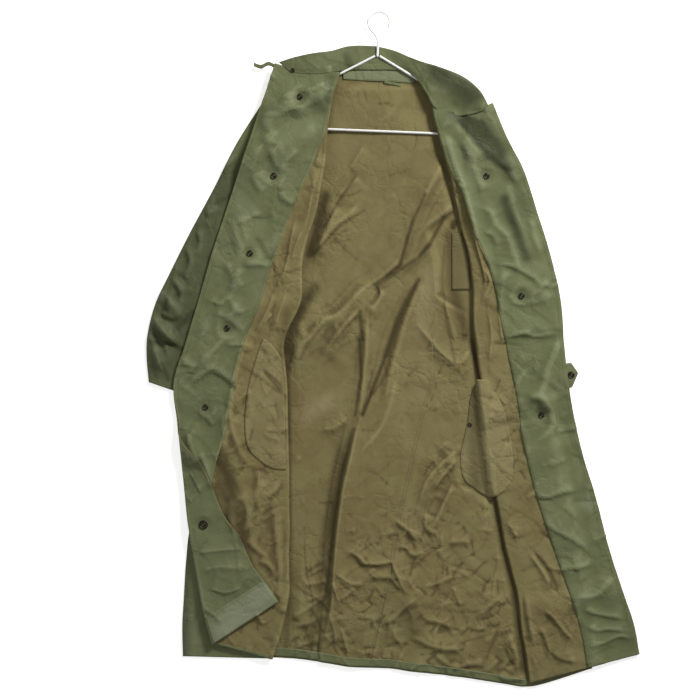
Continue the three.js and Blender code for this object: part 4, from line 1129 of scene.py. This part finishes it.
def strap_place(u, v):
    x = mix(-250, -198, u)
    y = spline([509, 505, 510, 505, 503], u) - mix(0, 7, v)
    return x, y, spline([6.5, 8, 10, 12, 12.9], u)


def right_bag_place(u, v):
    y = mix(0, -222, v)
    fold = line_x(FRONT_RIGHT, 2, y) - 5
    outer = spline([-233, -250, -260, -265, -266, -259, -228], v)
    x = mix(outer, fold, u)
    y = y + 14 * step(0.2, 0, v) * (1 - u) + 7 * step(0.85, 1, v) * (1 - u) ** 3
    y = y - 24 * step(0.3, 0, v) * u * u
    return x, y, right_top(x, y) + PATCH_ON


def left_bag_place(u, v):
    y = mix(-60, -271, v)
    fold = line_x(FRONT_LEFT, 2, y)
    low = spline([150, 139, 135, 128, 121, 126, 152], v)
    high = spline([170, 190, 203, 211, 215, 214, 200], v)
    x = mix(low, high, u)
    y = y + 11 * step(0.86, 1, v) * (2 * u - 1) ** 2
    on_top = step(-20, -1, x - fold)
    return x, y, mix(POCKET_HEIGHT, left_top(x, y) + PATCH_ON, on_top)


def breast_pocket_place(u, v):
    y = mix(203, 101, v)
    fold = line_x(FRONT_LEFT, 2, y) - 3
    return mix(106, fold, u), y, np.full_like(u, POCKET_HEIGHT)


def cuff_tab_place(u, v):
    x = mix(305.2, np.interp(v, [0, 0.42, 1], [320, 333, 322]), u)
    y = mix(mix(-32, -78, v), mix(-30, -74, v), u)
    return x, y, mix(6.4, 5.2, u)


# Finishes

class Tone:
    """One socket of a finish. Sums and products of tones add Math nodes."""

    def __init__(self, finish, socket):
        self.finish = finish
        self.socket = socket

    def _math(self, operation, first, second):
        return self.finish.node("ShaderNodeMath", {"operation": operation},
                                {0: first, 1: second})

    def __add__(self, other):
        return self._math("ADD", self, other)

    __radd__ = __add__

    def __sub__(self, other):
        return self._math("SUBTRACT", self, other)

    def __rsub__(self, other):
        return self._math("SUBTRACT", other, self)

    def __mul__(self, other):
        return self._math("MULTIPLY", self, other)

    __rmul__ = __mul__


class Finish:
    """A material with its nodes."""

    def __init__(self, name, **fixed):
        self.material = bpy.data.materials.new(name)
        self.material.use_nodes = True
        self.tree = self.material.node_tree
        self.shader = self.tree.nodes["Principled BSDF"]
        for key, value in fixed.items():
            self.shader.inputs[key.replace("_", " ")].default_value = value
        self.spot = self.node("ShaderNodeTexCoord", {}, {}, "Object")

    def node(self, kind, settings, values, out=0):
        made = self.tree.nodes.new(kind)
        for key, value in settings.items():
            setattr(made, key, value)
        for key, value in values.items():
            if isinstance(value, Tone):
                self.tree.links.new(value.socket, made.inputs[key])
            else:
                made.inputs[key].default_value = value
        return Tone(self, made.outputs[out])

    def noise(self, scale, detail=2.0, rough=0.5, twist=0.0, kind="FBM"):
        return self.node("ShaderNodeTexNoise", {"noise_type": kind, "normalize": True},
                         {"Vector": self.spot, "Scale": scale, "Detail": detail,
                          "Roughness": rough, "Distortion": twist})

    def wrinkles(self, scale, twist):
        """Straight fine creases: 0 along them and 1 between."""
        bent = self.node("ShaderNodeTexNoise", {}, {"Vector": self.spot, "Scale": scale * 0.6,
                                                    "Detail": 2.0}, "Color")
        drift = self.node("ShaderNodeVectorMath", {"operation": "SCALE"},
                          {0: bent, "Scale": twist / scale})
        where = self.node("ShaderNodeVectorMath", {"operation": "ADD"},
                          {0: self.spot, 1: drift})
        cells = self.node("ShaderNodeTexVoronoi", {"feature": "DISTANCE_TO_EDGE"},
                          {"Vector": where, "Scale": scale})
        return self.ramp(cells, 0.0, 0.16)

    def patches(self, scale):
        """Uneven areas in which the fine creases are stronger."""
        return self.ramp(self.noise(scale, 2.0), 0.42, 0.62, 0.15, 1.0)

    def ramp(self, value, low, high, start=0.0, end=1.0):
        return self.node("ShaderNodeMapRange", {"interpolation_type": "SMOOTHSTEP"},
                         {0: value, 1: low, 2: high, 3: start, 4: end})

    def blend(self, factor, a, b):
        return self.node("ShaderNodeMix", {"data_type": "RGBA"}, {0: factor, 6: a, 7: b}, 2)

    def shade_and_wear_by_relief(self, shade, deep, pale):
        """Painted shade: darker in the cloth's hollows, which also keep their dirt. Painted
        highlight: paler on its crests, which are also rubbed.
        """
        relief = self.node("ShaderNodeAttribute", {"attribute_name": "relief"}, {}, "Fac")
        shade = self.blend(self.ramp(relief, 0.5, 0.08, 0, 0.75), shade, deep)
        return self.blend(self.ramp(relief, 0.56, 0.95, 0, 0.45), shade, pale)

    def stained_and_shaded(self, shade, cloudy, deep, light):
        """Dark and pale places along lines: painted shade and stains, pale wear and painted light,
        made uneven by the cloudy tone.
        """
        mark = self.node("ShaderNodeAttribute", {"attribute_name": "stain"}, {}, "Fac")
        mark = mark * (cloudy * 0.7 + 0.65)
        shade = self.blend(self.ramp(mark, -0.02, -1.0), shade, deep)
        return self.blend(self.ramp(mark, 0.02, 1.0), shade, light)

    def set(self, key, tone):
        self.tree.links.new(tone.socket, self.shader.inputs[key])

    def bump(self, height, depth, strength=1.0):
        values = {"Strength": strength, "Distance": depth, "Height": height}
        self.set("Normal", self.node("ShaderNodeBump", {}, values))


def colour(red, green, blue):
    """Linear colour from one seen on a screen, 0 to 255."""
    found = []
    for value in (red, green, blue):
        share = value / 255
        found.append(share / 12.92 if share <= 0.04045 else ((share + 0.055) / 1.055) ** 2.4)
    return (*found, 1.0)


# Colours of the marks: the dark ones are painted shade and stains; the pale ones are wear, and on
# the coated cloth also painted light
COATED_DARK_STAIN_AND_SHADE = colour(60, 64, 42)
COATED_PALE_WEAR_AND_LIGHT = colour(134, 138, 112)
COTTON_DARK_STAIN_AND_SHADE = colour(67, 58, 36)
COTTON_PALE_STAIN = colour(152, 140, 106)


def coated_cloth(name, base, dark, pale):
    look = Finish(name, Roughness=0.6, Specular_IOR_Level=0.15)
    cloudy = look.noise(9, 4, 0.6)
    blotch = look.noise(34, 3, 0.55, 0.6)
    speck = look.noise(420, 2, 0.6)
    lines = look.noise(26, 5, 0.62, 0.8, "RIDGED_MULTIFRACTAL")
    worn = look.ramp(lines, 0.62, 0.92) * look.ramp(blotch, 0.35, 0.7)
    shade = look.blend(look.ramp(cloudy * 0.6 + blotch * 0.4, 0.32, 0.68), dark, base)
    shade = look.blend(worn * 0.28, shade, pale)
    shade = look.blend(look.ramp(speck, 0.35, 0.75) * 0.16, shade, pale)
    # painted shade in the hollows and painted highlight on the crests, with dirt and rubbing
    shade = look.shade_and_wear_by_relief(shade, dark, pale)
    look.set("Base Color", look.stained_and_shaded(shade, blotch, COATED_DARK_STAIN_AND_SHADE, COATED_PALE_WEAR_AND_LIGHT))
    look.set("Roughness", look.ramp(blotch + worn * 0.2, 0.25, 0.8, 0.52, 0.72))
    fine = (look.wrinkles(30, 0.6) * 0.6 + look.wrinkles(64, 0.7) * 0.3) * look.patches(14)
    look.bump(fine + look.noise(38, 2, 0.5) * 1.1 + speck * 0.05, 0.0009, 0.9)
    return look.material


def cotton(name, base, dark, pale, stain):
    look = Finish(name, Roughness=0.92, Specular_IOR_Level=0.15)
    cloudy = look.noise(7, 4, 0.6)
    blotch = look.noise(28, 4, 0.6, 0.7)
    speck = look.noise(700, 2, 0.6)
    lines = look.noise(30, 5, 0.62, 0.9, "RIDGED_MULTIFRACTAL")
    shade = look.blend(look.ramp(cloudy * 0.55 + blotch * 0.45, 0.33, 0.67), dark, base)
    shade = look.blend(look.ramp(lines, 0.66, 0.95) * 0.25, shade, pale)
    shade = look.blend(look.ramp(look.noise(4.5, 5, 0.65, 1.2), 0.60, 0.72) * 0.5, shade, stain)
    shade = look.blend(look.ramp(speck, 0.3, 0.75) * 0.22, shade, pale)
    # painted shade in the hollows and painted highlight on the crests, with dirt and rubbing
    shade = look.shade_and_wear_by_relief(shade, stain, pale)
    look.set("Base Color", look.stained_and_shaded(shade, blotch, COTTON_DARK_STAIN_AND_SHADE, COTTON_PALE_STAIN))
    fine = (look.wrinkles(32, 0.6) * 0.7 + look.wrinkles(70, 0.7) * 0.4) * look.patches(12)
    look.bump(fine + look.noise(42, 2, 0.5) * 1.1 + speck * 0.12, 0.0009, 0.9)
    return look.material


def stud_metal():
    look = Finish("stud_metal_worn", Metallic=0.85, Roughness=0.42)
    worn = look.ramp(look.noise(900, 3), 0.45, 0.65)
    look.set("Base Color", look.blend(worn, colour(36, 32, 26), colour(92, 84, 66)))
    look.bump(look.noise(1400, 2), 0.0001, 0.4)
    return look.material


def painted_wire():
    look = Finish("wire_white_paint", Roughness=0.35)
    chip = look.ramp(look.noise(160, 4, 0.7), 0.66, 0.72)
    look.set("Base Color", look.blend(chip, colour(232, 232, 228), colour(120, 112, 100)))
    look.bump(look.noise(600, 2), 0.0001, 0.3)
    return look.material


def thread(name, shade):
    look = Finish(name, Roughness=0.8)
    twist = look.noise(1500, 2)
    look.set("Base Color", look.blend(twist, shade, colour(60, 60, 44)))
    return look.material


GREEN_LOOK = coated_cloth("green_coated_cloth", colour(107, 111, 77), colour(95, 100, 67),
                          colour(130, 135, 102))
BROWN_LOOK = cotton("brown_cotton_inside", colour(123, 115, 76), colour(108, 97, 62),
                    colour(142, 131, 92), colour(84, 74, 48))
TAN_LOOK = cotton("tan_cotton_pocket", colour(133, 124, 86), colour(118, 108, 72),
                  colour(150, 141, 102), colour(96, 86, 58))
METAL_LOOK = stud_metal()
WIRE_LOOK = painted_wire()
GREEN_THREAD = thread("green_thread", colour(70, 74, 52))
TAN_THREAD = thread("brown_thread", colour(96, 86, 56))
ORANGE_THREAD = thread("orange_thread", colour(190, 96, 48))

# Garment

PIECES = {}


def panel(name, node, slot, flat, area, rests, cells, place, wall, looks, **more):
    """A cloth piece with its cut size in metres. Its area and what it lies on are not used."""
    piece = lay_cloth(name, cells, place, wall, looks, flat, **more)
    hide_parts(node)
    PIECES[name] = piece
    return piece


# Looks of a cloth that lies with its outside, or its inside, up
GREEN_UP = [GREEN_LOOK, BROWN_LOOK]
BROWN_UP = [BROWN_LOOK, GREEN_LOOK]

# Shares of a front's width at the side seam, both ends of the inner fold, the facing's
# seam, the front edge and the end of the strip
RIGHT_MARKS = [0, 0.07, 0.16, 0.52, 0.60, 1]
LEFT_MARKS = [0, 0.10, 0.24, 0.84, 0.97, 1]

# Rows down the right front at which its facing ends and starts to go round the edge
RIGHT_FACING_ROWS = 0.7
RIGHT_FACING_WRAP = 0.53
PAST_HEM = 1.1


def side_seam(share):
    """Side seam of the back, as the share of its width at which it lies."""
    return lambda v: share + 0 * v


def shared(line):
    return lambda v: share_at(line, v)


def right_sleeve_base(y):
    return RIGHT_SLEEVE_HEIGHT + 0 * y


def left_sleeve_base(y):
    return LEFT_SLEEVE_HEIGHT + hanger_rise(y)


panel("back_panel_right", "back", "brown_cotton", (0.37, 1.10), 0.29, [], (124, 350),
      back_half_place(side_seam(0), shared(centre_line), shared(right_fold_line), 0.12),
      BACK_WALL, GREEN_UP, stains=BACK_STAINS_AND_SHADE)
panel("back_panel_left", "back", "brown_cotton", (0.40, 1.12), 0.29, [], (124, 350),
      back_half_place(side_seam(1), shared(centre_line), shared(left_fold_line), 0.10),
      BACK_WALL, GREEN_UP, flip=True, stains=BACK_STAINS_AND_SHADE)
panel("hem_band", "back", "green_coated", (0.75, 0.014), 0.0102,
      ["back_panel_right", "back_panel_left"], (330, 5), hem_band_place,
      HEM_WALL, GREEN_UP, flip=True)
panel("front_panel_right", "front_right", "brown_cotton", (0.42, 1.10), 0.33,
      ["back_panel_right", "sleeve_tube_right"], (104, 390),
      front_place(FRONT_RIGHT, right_top, RIGHT_MARKS, 0.69),
      CLOTH_WALL, BROWN_UP, stains=RIGHT_FRONT_STAINS_AND_SHADE)
panel("right_hem_band", "front_right", "green_coated", (0.10, 0.0075), None,
      ["front_panel_right"], (60, 4), right_hem_place, HEM_WALL, GREEN_UP)
panel("flap_hem_band", "front_right", "green_coated", (0.055, 0.12), 0.0062,
      ["front_panel_right"], (60, 26), flap_band_place,
      HEM_WALL, GREEN_UP, flip=True, stains=FLAP_HEM_STAINS)
panel("front_panel_left", "front_left", "brown_cotton", (0.36, 1.10), 0.28,
      ["back_panel_left", "sleeve_tube_left"], (64, 390),
      front_place(FRONT_LEFT, left_top, LEFT_MARKS, PAST_HEM),
      CLOTH_WALL, GREEN_UP, stains=LEFT_FRONT_STAINS)
panel("facing_strip_right", "facing_right", "green_coated", (0.12, 0.84), 0.08,
      ["front_panel_right"], (56, 330),
      facing_place(FRONT_RIGHT, right_top, RIGHT_FACING_ROWS, RIGHT_FACING_WRAP, FACING_ON),
      TRIM_WALL, GREEN_UP, stains=RIGHT_FACING_STAINS_AND_SHADE)
panel("facing_strip_left", "facing_left", "green_coated", (0.12, 1.10), 0.11,
      ["front_panel_left"], (56, 410),
      facing_place(FRONT_LEFT, left_top, 1, PAST_HEM, FACING_ON),
      TRIM_WALL, GREEN_UP, flip=True, stains=LEFT_FACING_STAINS_AND_SHADE)
panel("sleeve_tube_right", "sleeve_right", "green_coated", (0.42, 0.52), 0.155,
      [], (112, 150), sleeve_place(SLEEVE_RIGHT, right_sleeve_base, right_sleeve_relief),
      CLOTH_WALL, GREEN_UP, flip=True, tube=True, stains=SLEEVE_STAINS_AND_SHADE)
panel("sleeve_tube_left", "sleeve_left", "green_coated", (0.30, 0.46), 0.10,
      ["back_panel_left"], (64, 80),
      sleeve_place(SLEEVE_LEFT, left_sleeve_base, left_sleeve_relief),
      CLOTH_WALL, GREEN_UP, tube=True)
panel("collar_leaf", "collar", "green_coated", (0.38, 0.06), 0.0135,
      ["back_panel_right", "facing_strip_right", "facing_strip_left"], (130, 18),
      collar_place, CLOTH_WALL, GREEN_UP, flip=True, stains=COLLAR_STAINS_AND_SHADE)
panel("neck_facing_strip", "neck_facing", "green_coated", (0.13, 0.022), 0.0025,
      ["back_panel_right"], (60, 12), neck_facing_place,
      TRIM_WALL, GREEN_UP, flip=True, stains=NECK_STAINS)
panel("hang_loop_tape", "hang_loop", "green_coated", (0.042, 0.005), None,
      ["neck_facing_strip"], (24, 4), hang_loop_place, TRIM_WALL, GREEN_UP, flip=True)
panel("collar_strap_tape", "collar_strap", "green_coated", (0.053, 0.007), None,
      ["collar_leaf"], (30, 5), strap_place, TRIM_WALL, GREEN_UP, flip=True)
panel("pocket_bag_right_patch", "pocket_bag_right", "tan_cotton", (0.1, 0.22), 0.016,
      ["front_panel_right"], (32, 62), right_bag_place, TRIM_WALL, [TAN_LOOK], flip=True)
panel("pocket_bag_left_patch", "pocket_bag_left", "tan_cotton", (0.09, 0.21), 0.015,
      ["front_panel_left", "back_panel_left"], (30, 58), left_bag_place,
      TRIM_WALL, [TAN_LOOK], flip=True, stains=POCKET_SHADE)
panel("breast_pocket_patch", "breast_pocket", "tan_cotton", (0.042, 0.103), 0.0035,
      ["back_panel_left"], (14, 30), breast_pocket_place,
      TRIM_WALL, [TAN_LOOK], flip=True, stains=POCKET_SHADE)
panel("cuff_tab_patch", "cuff_tab_left", "green_coated", (0.025, 0.044), None,
      ["sleeve_tube_left"], (10, 16), cuff_tab_place, TRIM_WALL, GREEN_UP, flip=True)


# Heights of what is laid, for what is sewn or pressed on

bpy.context.view_layer.update()


def tree_of(*names):
    graph = bpy.context.evaluated_depsgraph_get()
    return [BVHTree.FromObject(PIECES[name], graph) for name in names]


def drop(trees, x, y):
    """Highest cloth in metres under a point of the plan."""
    start = Vector(((x + PLAN_X) * MM, (y + PLAN_Y) * MM, 0.1))
    found = [tree.ray_cast(start, Vector((0, 0, -1)))[0] for tree in trees]
    heights = [spot.z for spot in found if spot is not None]
    return max(heights) if heights else 0.0


def press_stud(name, node, x, y, base, size=1.0):
    """Ring and spring socket of a press stud, turned about its own line."""
    form = bmesh.new()
    line = [form.verts.new((r * size * MM, 0, h * MM)) for r, h in STUD_PROFILE]
    edges = [form.edges.new(pair) for pair in zip(line, line[1:])]
    bmesh.ops.spin(form, geom=line + edges, cent=(0, 0, 0), axis=(0, 0, 1),
                   angle=2 * math.pi, steps=STUD_STEPS, use_merge=True)
    bmesh.ops.remove_doubles(form, verts=form.verts, dist=1e-6)
    rim = [edge for edge in form.edges if edge.is_boundary]
    bmesh.ops.contextual_create(form, geom=rim)
    bmesh.ops.recalc_face_normals(form, faces=form.faces)
    bmesh.ops.translate(form, verts=form.verts,
                        vec=((x + PLAN_X) * MM, (y + PLAN_Y) * MM, base))
    piece = add_piece(finish_mesh(form, name), name)
    piece.data.materials.append(METAL_LOOK)
    if node:
        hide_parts(node)
    return piece


def bed_height(trees, x, y, reach=4):
    """Highest cloth under a round piece."""
    return max(drop(trees, x + dx, y + dy) for dx in (-reach, 0, reach)
               for dy in (-reach, 0, reach))


STUD_BEDS = tree_of("front_panel_right", "facing_strip_right", "facing_strip_left")
for stud_node, (stud_x, stud_y) in STUDS.items():
    press_stud(stud_node.replace("stud", "press_stud"), stud_node, stud_x, stud_y,
               bed_height(STUD_BEDS, stud_x, stud_y) - STUD_PRESSED_IN,
               FLAP_STUD_SIZE if stud_node == "stud_flap" else 1.0)
TRIM_BEDS = tree_of("collar_leaf", "pocket_bag_left_patch", "cuff_tab_patch",
                    "facing_strip_right")
for trim_name, trim_x, trim_y, trim_size in TRIM_STUDS:
    press_stud(trim_name, None, trim_x, trim_y,
               bed_height(TRIM_BEDS, trim_x, trim_y, 2) - STUD_PRESSED_IN, trim_size)


# Stitching

def stitches(name, lines, look, beds, pitch=4.2, long=2.7, thick=0.42):
    """Rows of stitches along lines of the plan, lying on the highest cloth below."""
    form = bmesh.new()
    for points in lines:
        p = np.asarray(points, float)
        run = np.concatenate([[0], np.cumsum(np.hypot(np.diff(p[:, 0]), np.diff(p[:, 1])))])
        for place in np.arange(pitch / 2, run[-1], pitch):
            ends = []
            for at in (place - long / 2, place + long / 2):
                x, y = np.interp(at, run, p[:, 0]), np.interp(at, run, p[:, 1])
                ends.append(Vector(((x + PLAN_X) * MM, (y + PLAN_Y) * MM, drop(beds, x, y))))
            way = ends[1] - ends[0]
            if abs(way.z) > 0.8 * long * MM:
                continue
            turn = way.to_track_quat("X", "Z").to_matrix().to_4x4()
            size = Matrix.Diagonal((long / 2 * MM, thick * MM, thick * 0.7 * MM, 1))
            spot = Matrix.Translation((ends[0] + ends[1]) / 2)
            bmesh.ops.create_icosphere(form, subdivisions=1, radius=1,
                                       matrix=spot @ turn @ size)
    piece = add_piece(finish_mesh(form, name), name)
    piece.data.materials.append(look)
    return piece


def front_line(table, top, share, first, last, inset):
    """Line along a front at a share between the facing's seam and the edge."""
    t = np.linspace(first, last, FRONT_LINE_POINTS)
    seam = np.maximum(facing_seam(table, top, t), 2.0)
    c = mix(seam, 3, share) + inset
    x, y, _ = front_points(table, top, np.minimum(c, 2.99), t)
    return np.column_stack([x, y])


def grid_line(place, us, vs):
    """Line over a cloth piece, one of whose places may be the same all along."""
    x, y = place(us + 0 * EVEN, vs + 0 * EVEN)[:2]
    return np.column_stack([x, y])


# Points of a row of stitches, and how far it lies from a seam
FRONT_LINE_POINTS = 90
EVEN = np.linspace(0, 1, 60)
FACING_INSET = 0.03
SEAM_HALF = 3
SEWN = tree_of("front_panel_right", "front_panel_left", "facing_strip_right",
               "facing_strip_left", "back_panel_right", "back_panel_left", "hem_band",
               "collar_leaf", "neck_facing_strip", "pocket_bag_right_patch",
               "pocket_bag_left_patch", "breast_pocket_patch", "flap_hem_band",
               "cuff_tab_patch")
stitches("stitches_facings", [
    front_line(FRONT_RIGHT, right_top, 0, 0.02, 0.62, FACING_INSET),
    front_line(FRONT_RIGHT, right_top, 1, 0.02, 0.55, -FACING_INSET),
    front_line(FRONT_LEFT, left_top, 0, 0.02, 0.99, FACING_INSET),
    front_line(FRONT_LEFT, left_top, 1, 0.02, 0.99, -FACING_INSET),
], GREEN_THREAD, SEWN)
CENTRE_YS = np.linspace(-50, -560, 60)
stitches("stitches_centre_seam", [
    np.column_stack([centre_line(CENTRE_YS) + SEAM_HALF, CENTRE_YS]),
    np.column_stack([centre_line(CENTRE_YS) - SEAM_HALF, CENTRE_YS]),
], GREEN_THREAD, SEWN, pitch=3.6, long=2.6, thick=0.5)
stitches("stitches_pockets", [
    grid_line(right_bag_place, 0.03, EVEN),
    grid_line(right_bag_place, EVEN * 0.95 + 0.03, 0.98),
    grid_line(left_bag_place, 0.04, EVEN),
    grid_line(left_bag_place, EVEN * 0.95 + 0.03, 0.98),
    grid_line(breast_pocket_place, 0.07, EVEN),
    grid_line(breast_pocket_place, EVEN * 0.95 + 0.03, 0.97),
    grid_line(breast_pocket_place, EVEN * 0.95 + 0.03, 0.03),
], TAN_THREAD, SEWN)
stitches("stitches_trim", [
    grid_line(collar_place, EVEN * 0.96 + 0.02, 0.10),
    grid_line(collar_place, EVEN * 0.30 + 0.02, 0.90),
    grid_line(hem_band_place, EVEN, 0.15),
    grid_line(neck_facing_place, EVEN * 0.94 + 0.03, 0.88),
    grid_line(flap_band_place, EVEN * 0.9 + 0.05, 0.08),
    PATCH_LINE,
], GREEN_THREAD, SEWN)
stitches("stitches_slits", SLITS, GREEN_THREAD, SEWN,
         pitch=1.1, long=1.8, thick=0.7)
stitches("stitches_knots", KNOTS, ORANGE_THREAD, SEWN,
         pitch=2.6, long=3.2, thick=1.0)


# Hanger

def hanger_spot(x, y):
    c, s = math.cos(HANGER_TURN), math.sin(HANGER_TURN)
    return ((HANGER_X + x * c - y * s + PLAN_X) * MM, (HANGER_Y + x * s + y * c + PLAN_Y) * MM,
            HANGER_Z * MM)


def bend_wire(name, spots, radius, nodes):
    path = bpy.data.curves.new(name, "CURVE")
    path.dimensions = "3D"
    path.bevel_depth = radius * MM
    path.bevel_resolution = 3
    path.use_fill_caps = True
    line = path.splines.new("NURBS")
    line.points.add(len(spots) - 1)
    for point, spot in zip(line.points, spots):
        point.co = (*spot, 1)
    line.order_u = 3
    line.use_endpoint_u = True
    line.resolution_u = 4
    curve = bpy.data.objects.new(name, path)
    bpy.context.scene.collection.objects.link(curve)
    bpy.context.view_layer.update()
    solid = curve.evaluated_get(bpy.context.evaluated_depsgraph_get())
    mesh = bpy.data.meshes.new_from_object(solid)
    bpy.data.objects.remove(curve)
    mesh.name = name
    mesh.polygons.foreach_set("use_smooth", [True] * len(mesh.polygons))
    mesh.materials.clear()
    mesh.materials.append(WIRE_LOOK)
    piece = add_piece(mesh, name)
    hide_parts(*nodes)
    return piece


# Where an arm starts beside the twist, and its bend down to the bar
ARM_START = 4.2
BEND_INSET = 2
BEND_WIDTH = 0.8
BEND_ANGLES = (60, 20, -20, -60, -90)
ARM_END_INSET = 14
BAR_INSET = 14.2


def hanger_arm(name, side, node):
    low = ARM_SLOPE * ARM_HALF
    bend = (BAR_DROP - low) / 2
    spots = [hanger_spot(side * x, -ARM_SLOPE * x)
             for x in np.linspace(ARM_START, ARM_HALF, 9)]
    for angle in BEND_ANGLES:
        a = math.radians(angle)
        out = ARM_HALF - BEND_INSET + bend * BEND_WIDTH * math.cos(a)
        spots.append(hanger_spot(side * out, -(low + bend) + bend * math.sin(a)))
    spots.append(hanger_spot(side * (ARM_HALF - ARM_END_INSET), -BAR_DROP))
    bend_wire(name, spots, WIRE_RADIUS, [node])


hanger_arm("hanger_wire_arm_right", -1, "hanger_arm_right")
hanger_arm("hanger_wire_arm_left", 1, "hanger_arm_left")
BAR_HALF = ARM_HALF - BAR_INSET
bend_wire("hanger_wire_bar",
          [hanger_spot(x, -BAR_DROP) for x in np.linspace(-BAR_HALF, BAR_HALF, 9)],
          WIRE_RADIUS, ["hanger_bar"])
bend_wire("hanger_wire_hook", [hanger_spot(x, y) for x, y in HOOK], WIRE_RADIUS,
          ["hanger_hook"])


# Floor, lights and camera

FLOOR_HALF = 6
ROOM_LIGHT = 0.22
SENSOR_WIDTH = 36
LENS = 85.7
CAMERA_SPOT = (-0.0770, -0.0029, 3.0)


def stage_floor():
    form = bmesh.new()
    bmesh.ops.create_grid(form, x_segments=8, y_segments=8, size=FLOOR_HALF)
    mesh = finish_mesh(form, "floor", False)
    floor = bpy.data.objects.new("floor", mesh)
    bpy.context.scene.collection.objects.link(floor)
    look = Finish("floor_paper", Roughness=0.9, Base_Color=(0.86, 0.86, 0.85, 1),
                  Emission_Color=(1, 1, 1, 1), Emission_Strength=0.6)
    mesh.materials.append(look.material)


def soft_light(name, spot, aim, size, power):
    lamp = bpy.data.lights.new(name, "AREA")
    lamp.shape = "DISK"
    lamp.size = size
    lamp.energy = power
    holder = bpy.data.objects.new(name, lamp)
    bpy.context.scene.collection.objects.link(holder)
    holder.location = spot
    holder.rotation_euler = (Vector(aim) - Vector(spot)).to_track_quat("-Z", "Y").to_euler()


stage_floor()
soft_light("key", spot=(1.5, 2.0, 1.7), aim=(0, 0, 0), size=0.8, power=105)
soft_light("fill", spot=(-1.8, -0.6, 2.6), aim=(0, 0, 0), size=2.4, power=18)

world = bpy.data.worlds.new("room")
world.use_nodes = True
sky = world.node_tree.nodes["Background"]
sky.inputs["Color"].default_value = (1, 1, 1, 1)
sky.inputs["Strength"].default_value = ROOM_LIGHT
bpy.context.scene.world = world

camera = bpy.data.cameras.new("camera")
camera.sensor_width = SENSOR_WIDTH
camera.lens = LENS
camera_holder = bpy.data.objects.new("camera", camera)
bpy.context.scene.collection.objects.link(camera_holder)
camera_holder.location = CAMERA_SPOT
bpy.context.scene.camera = camera_holder
bpy.context.scene.view_settings.view_transform = "Standard"
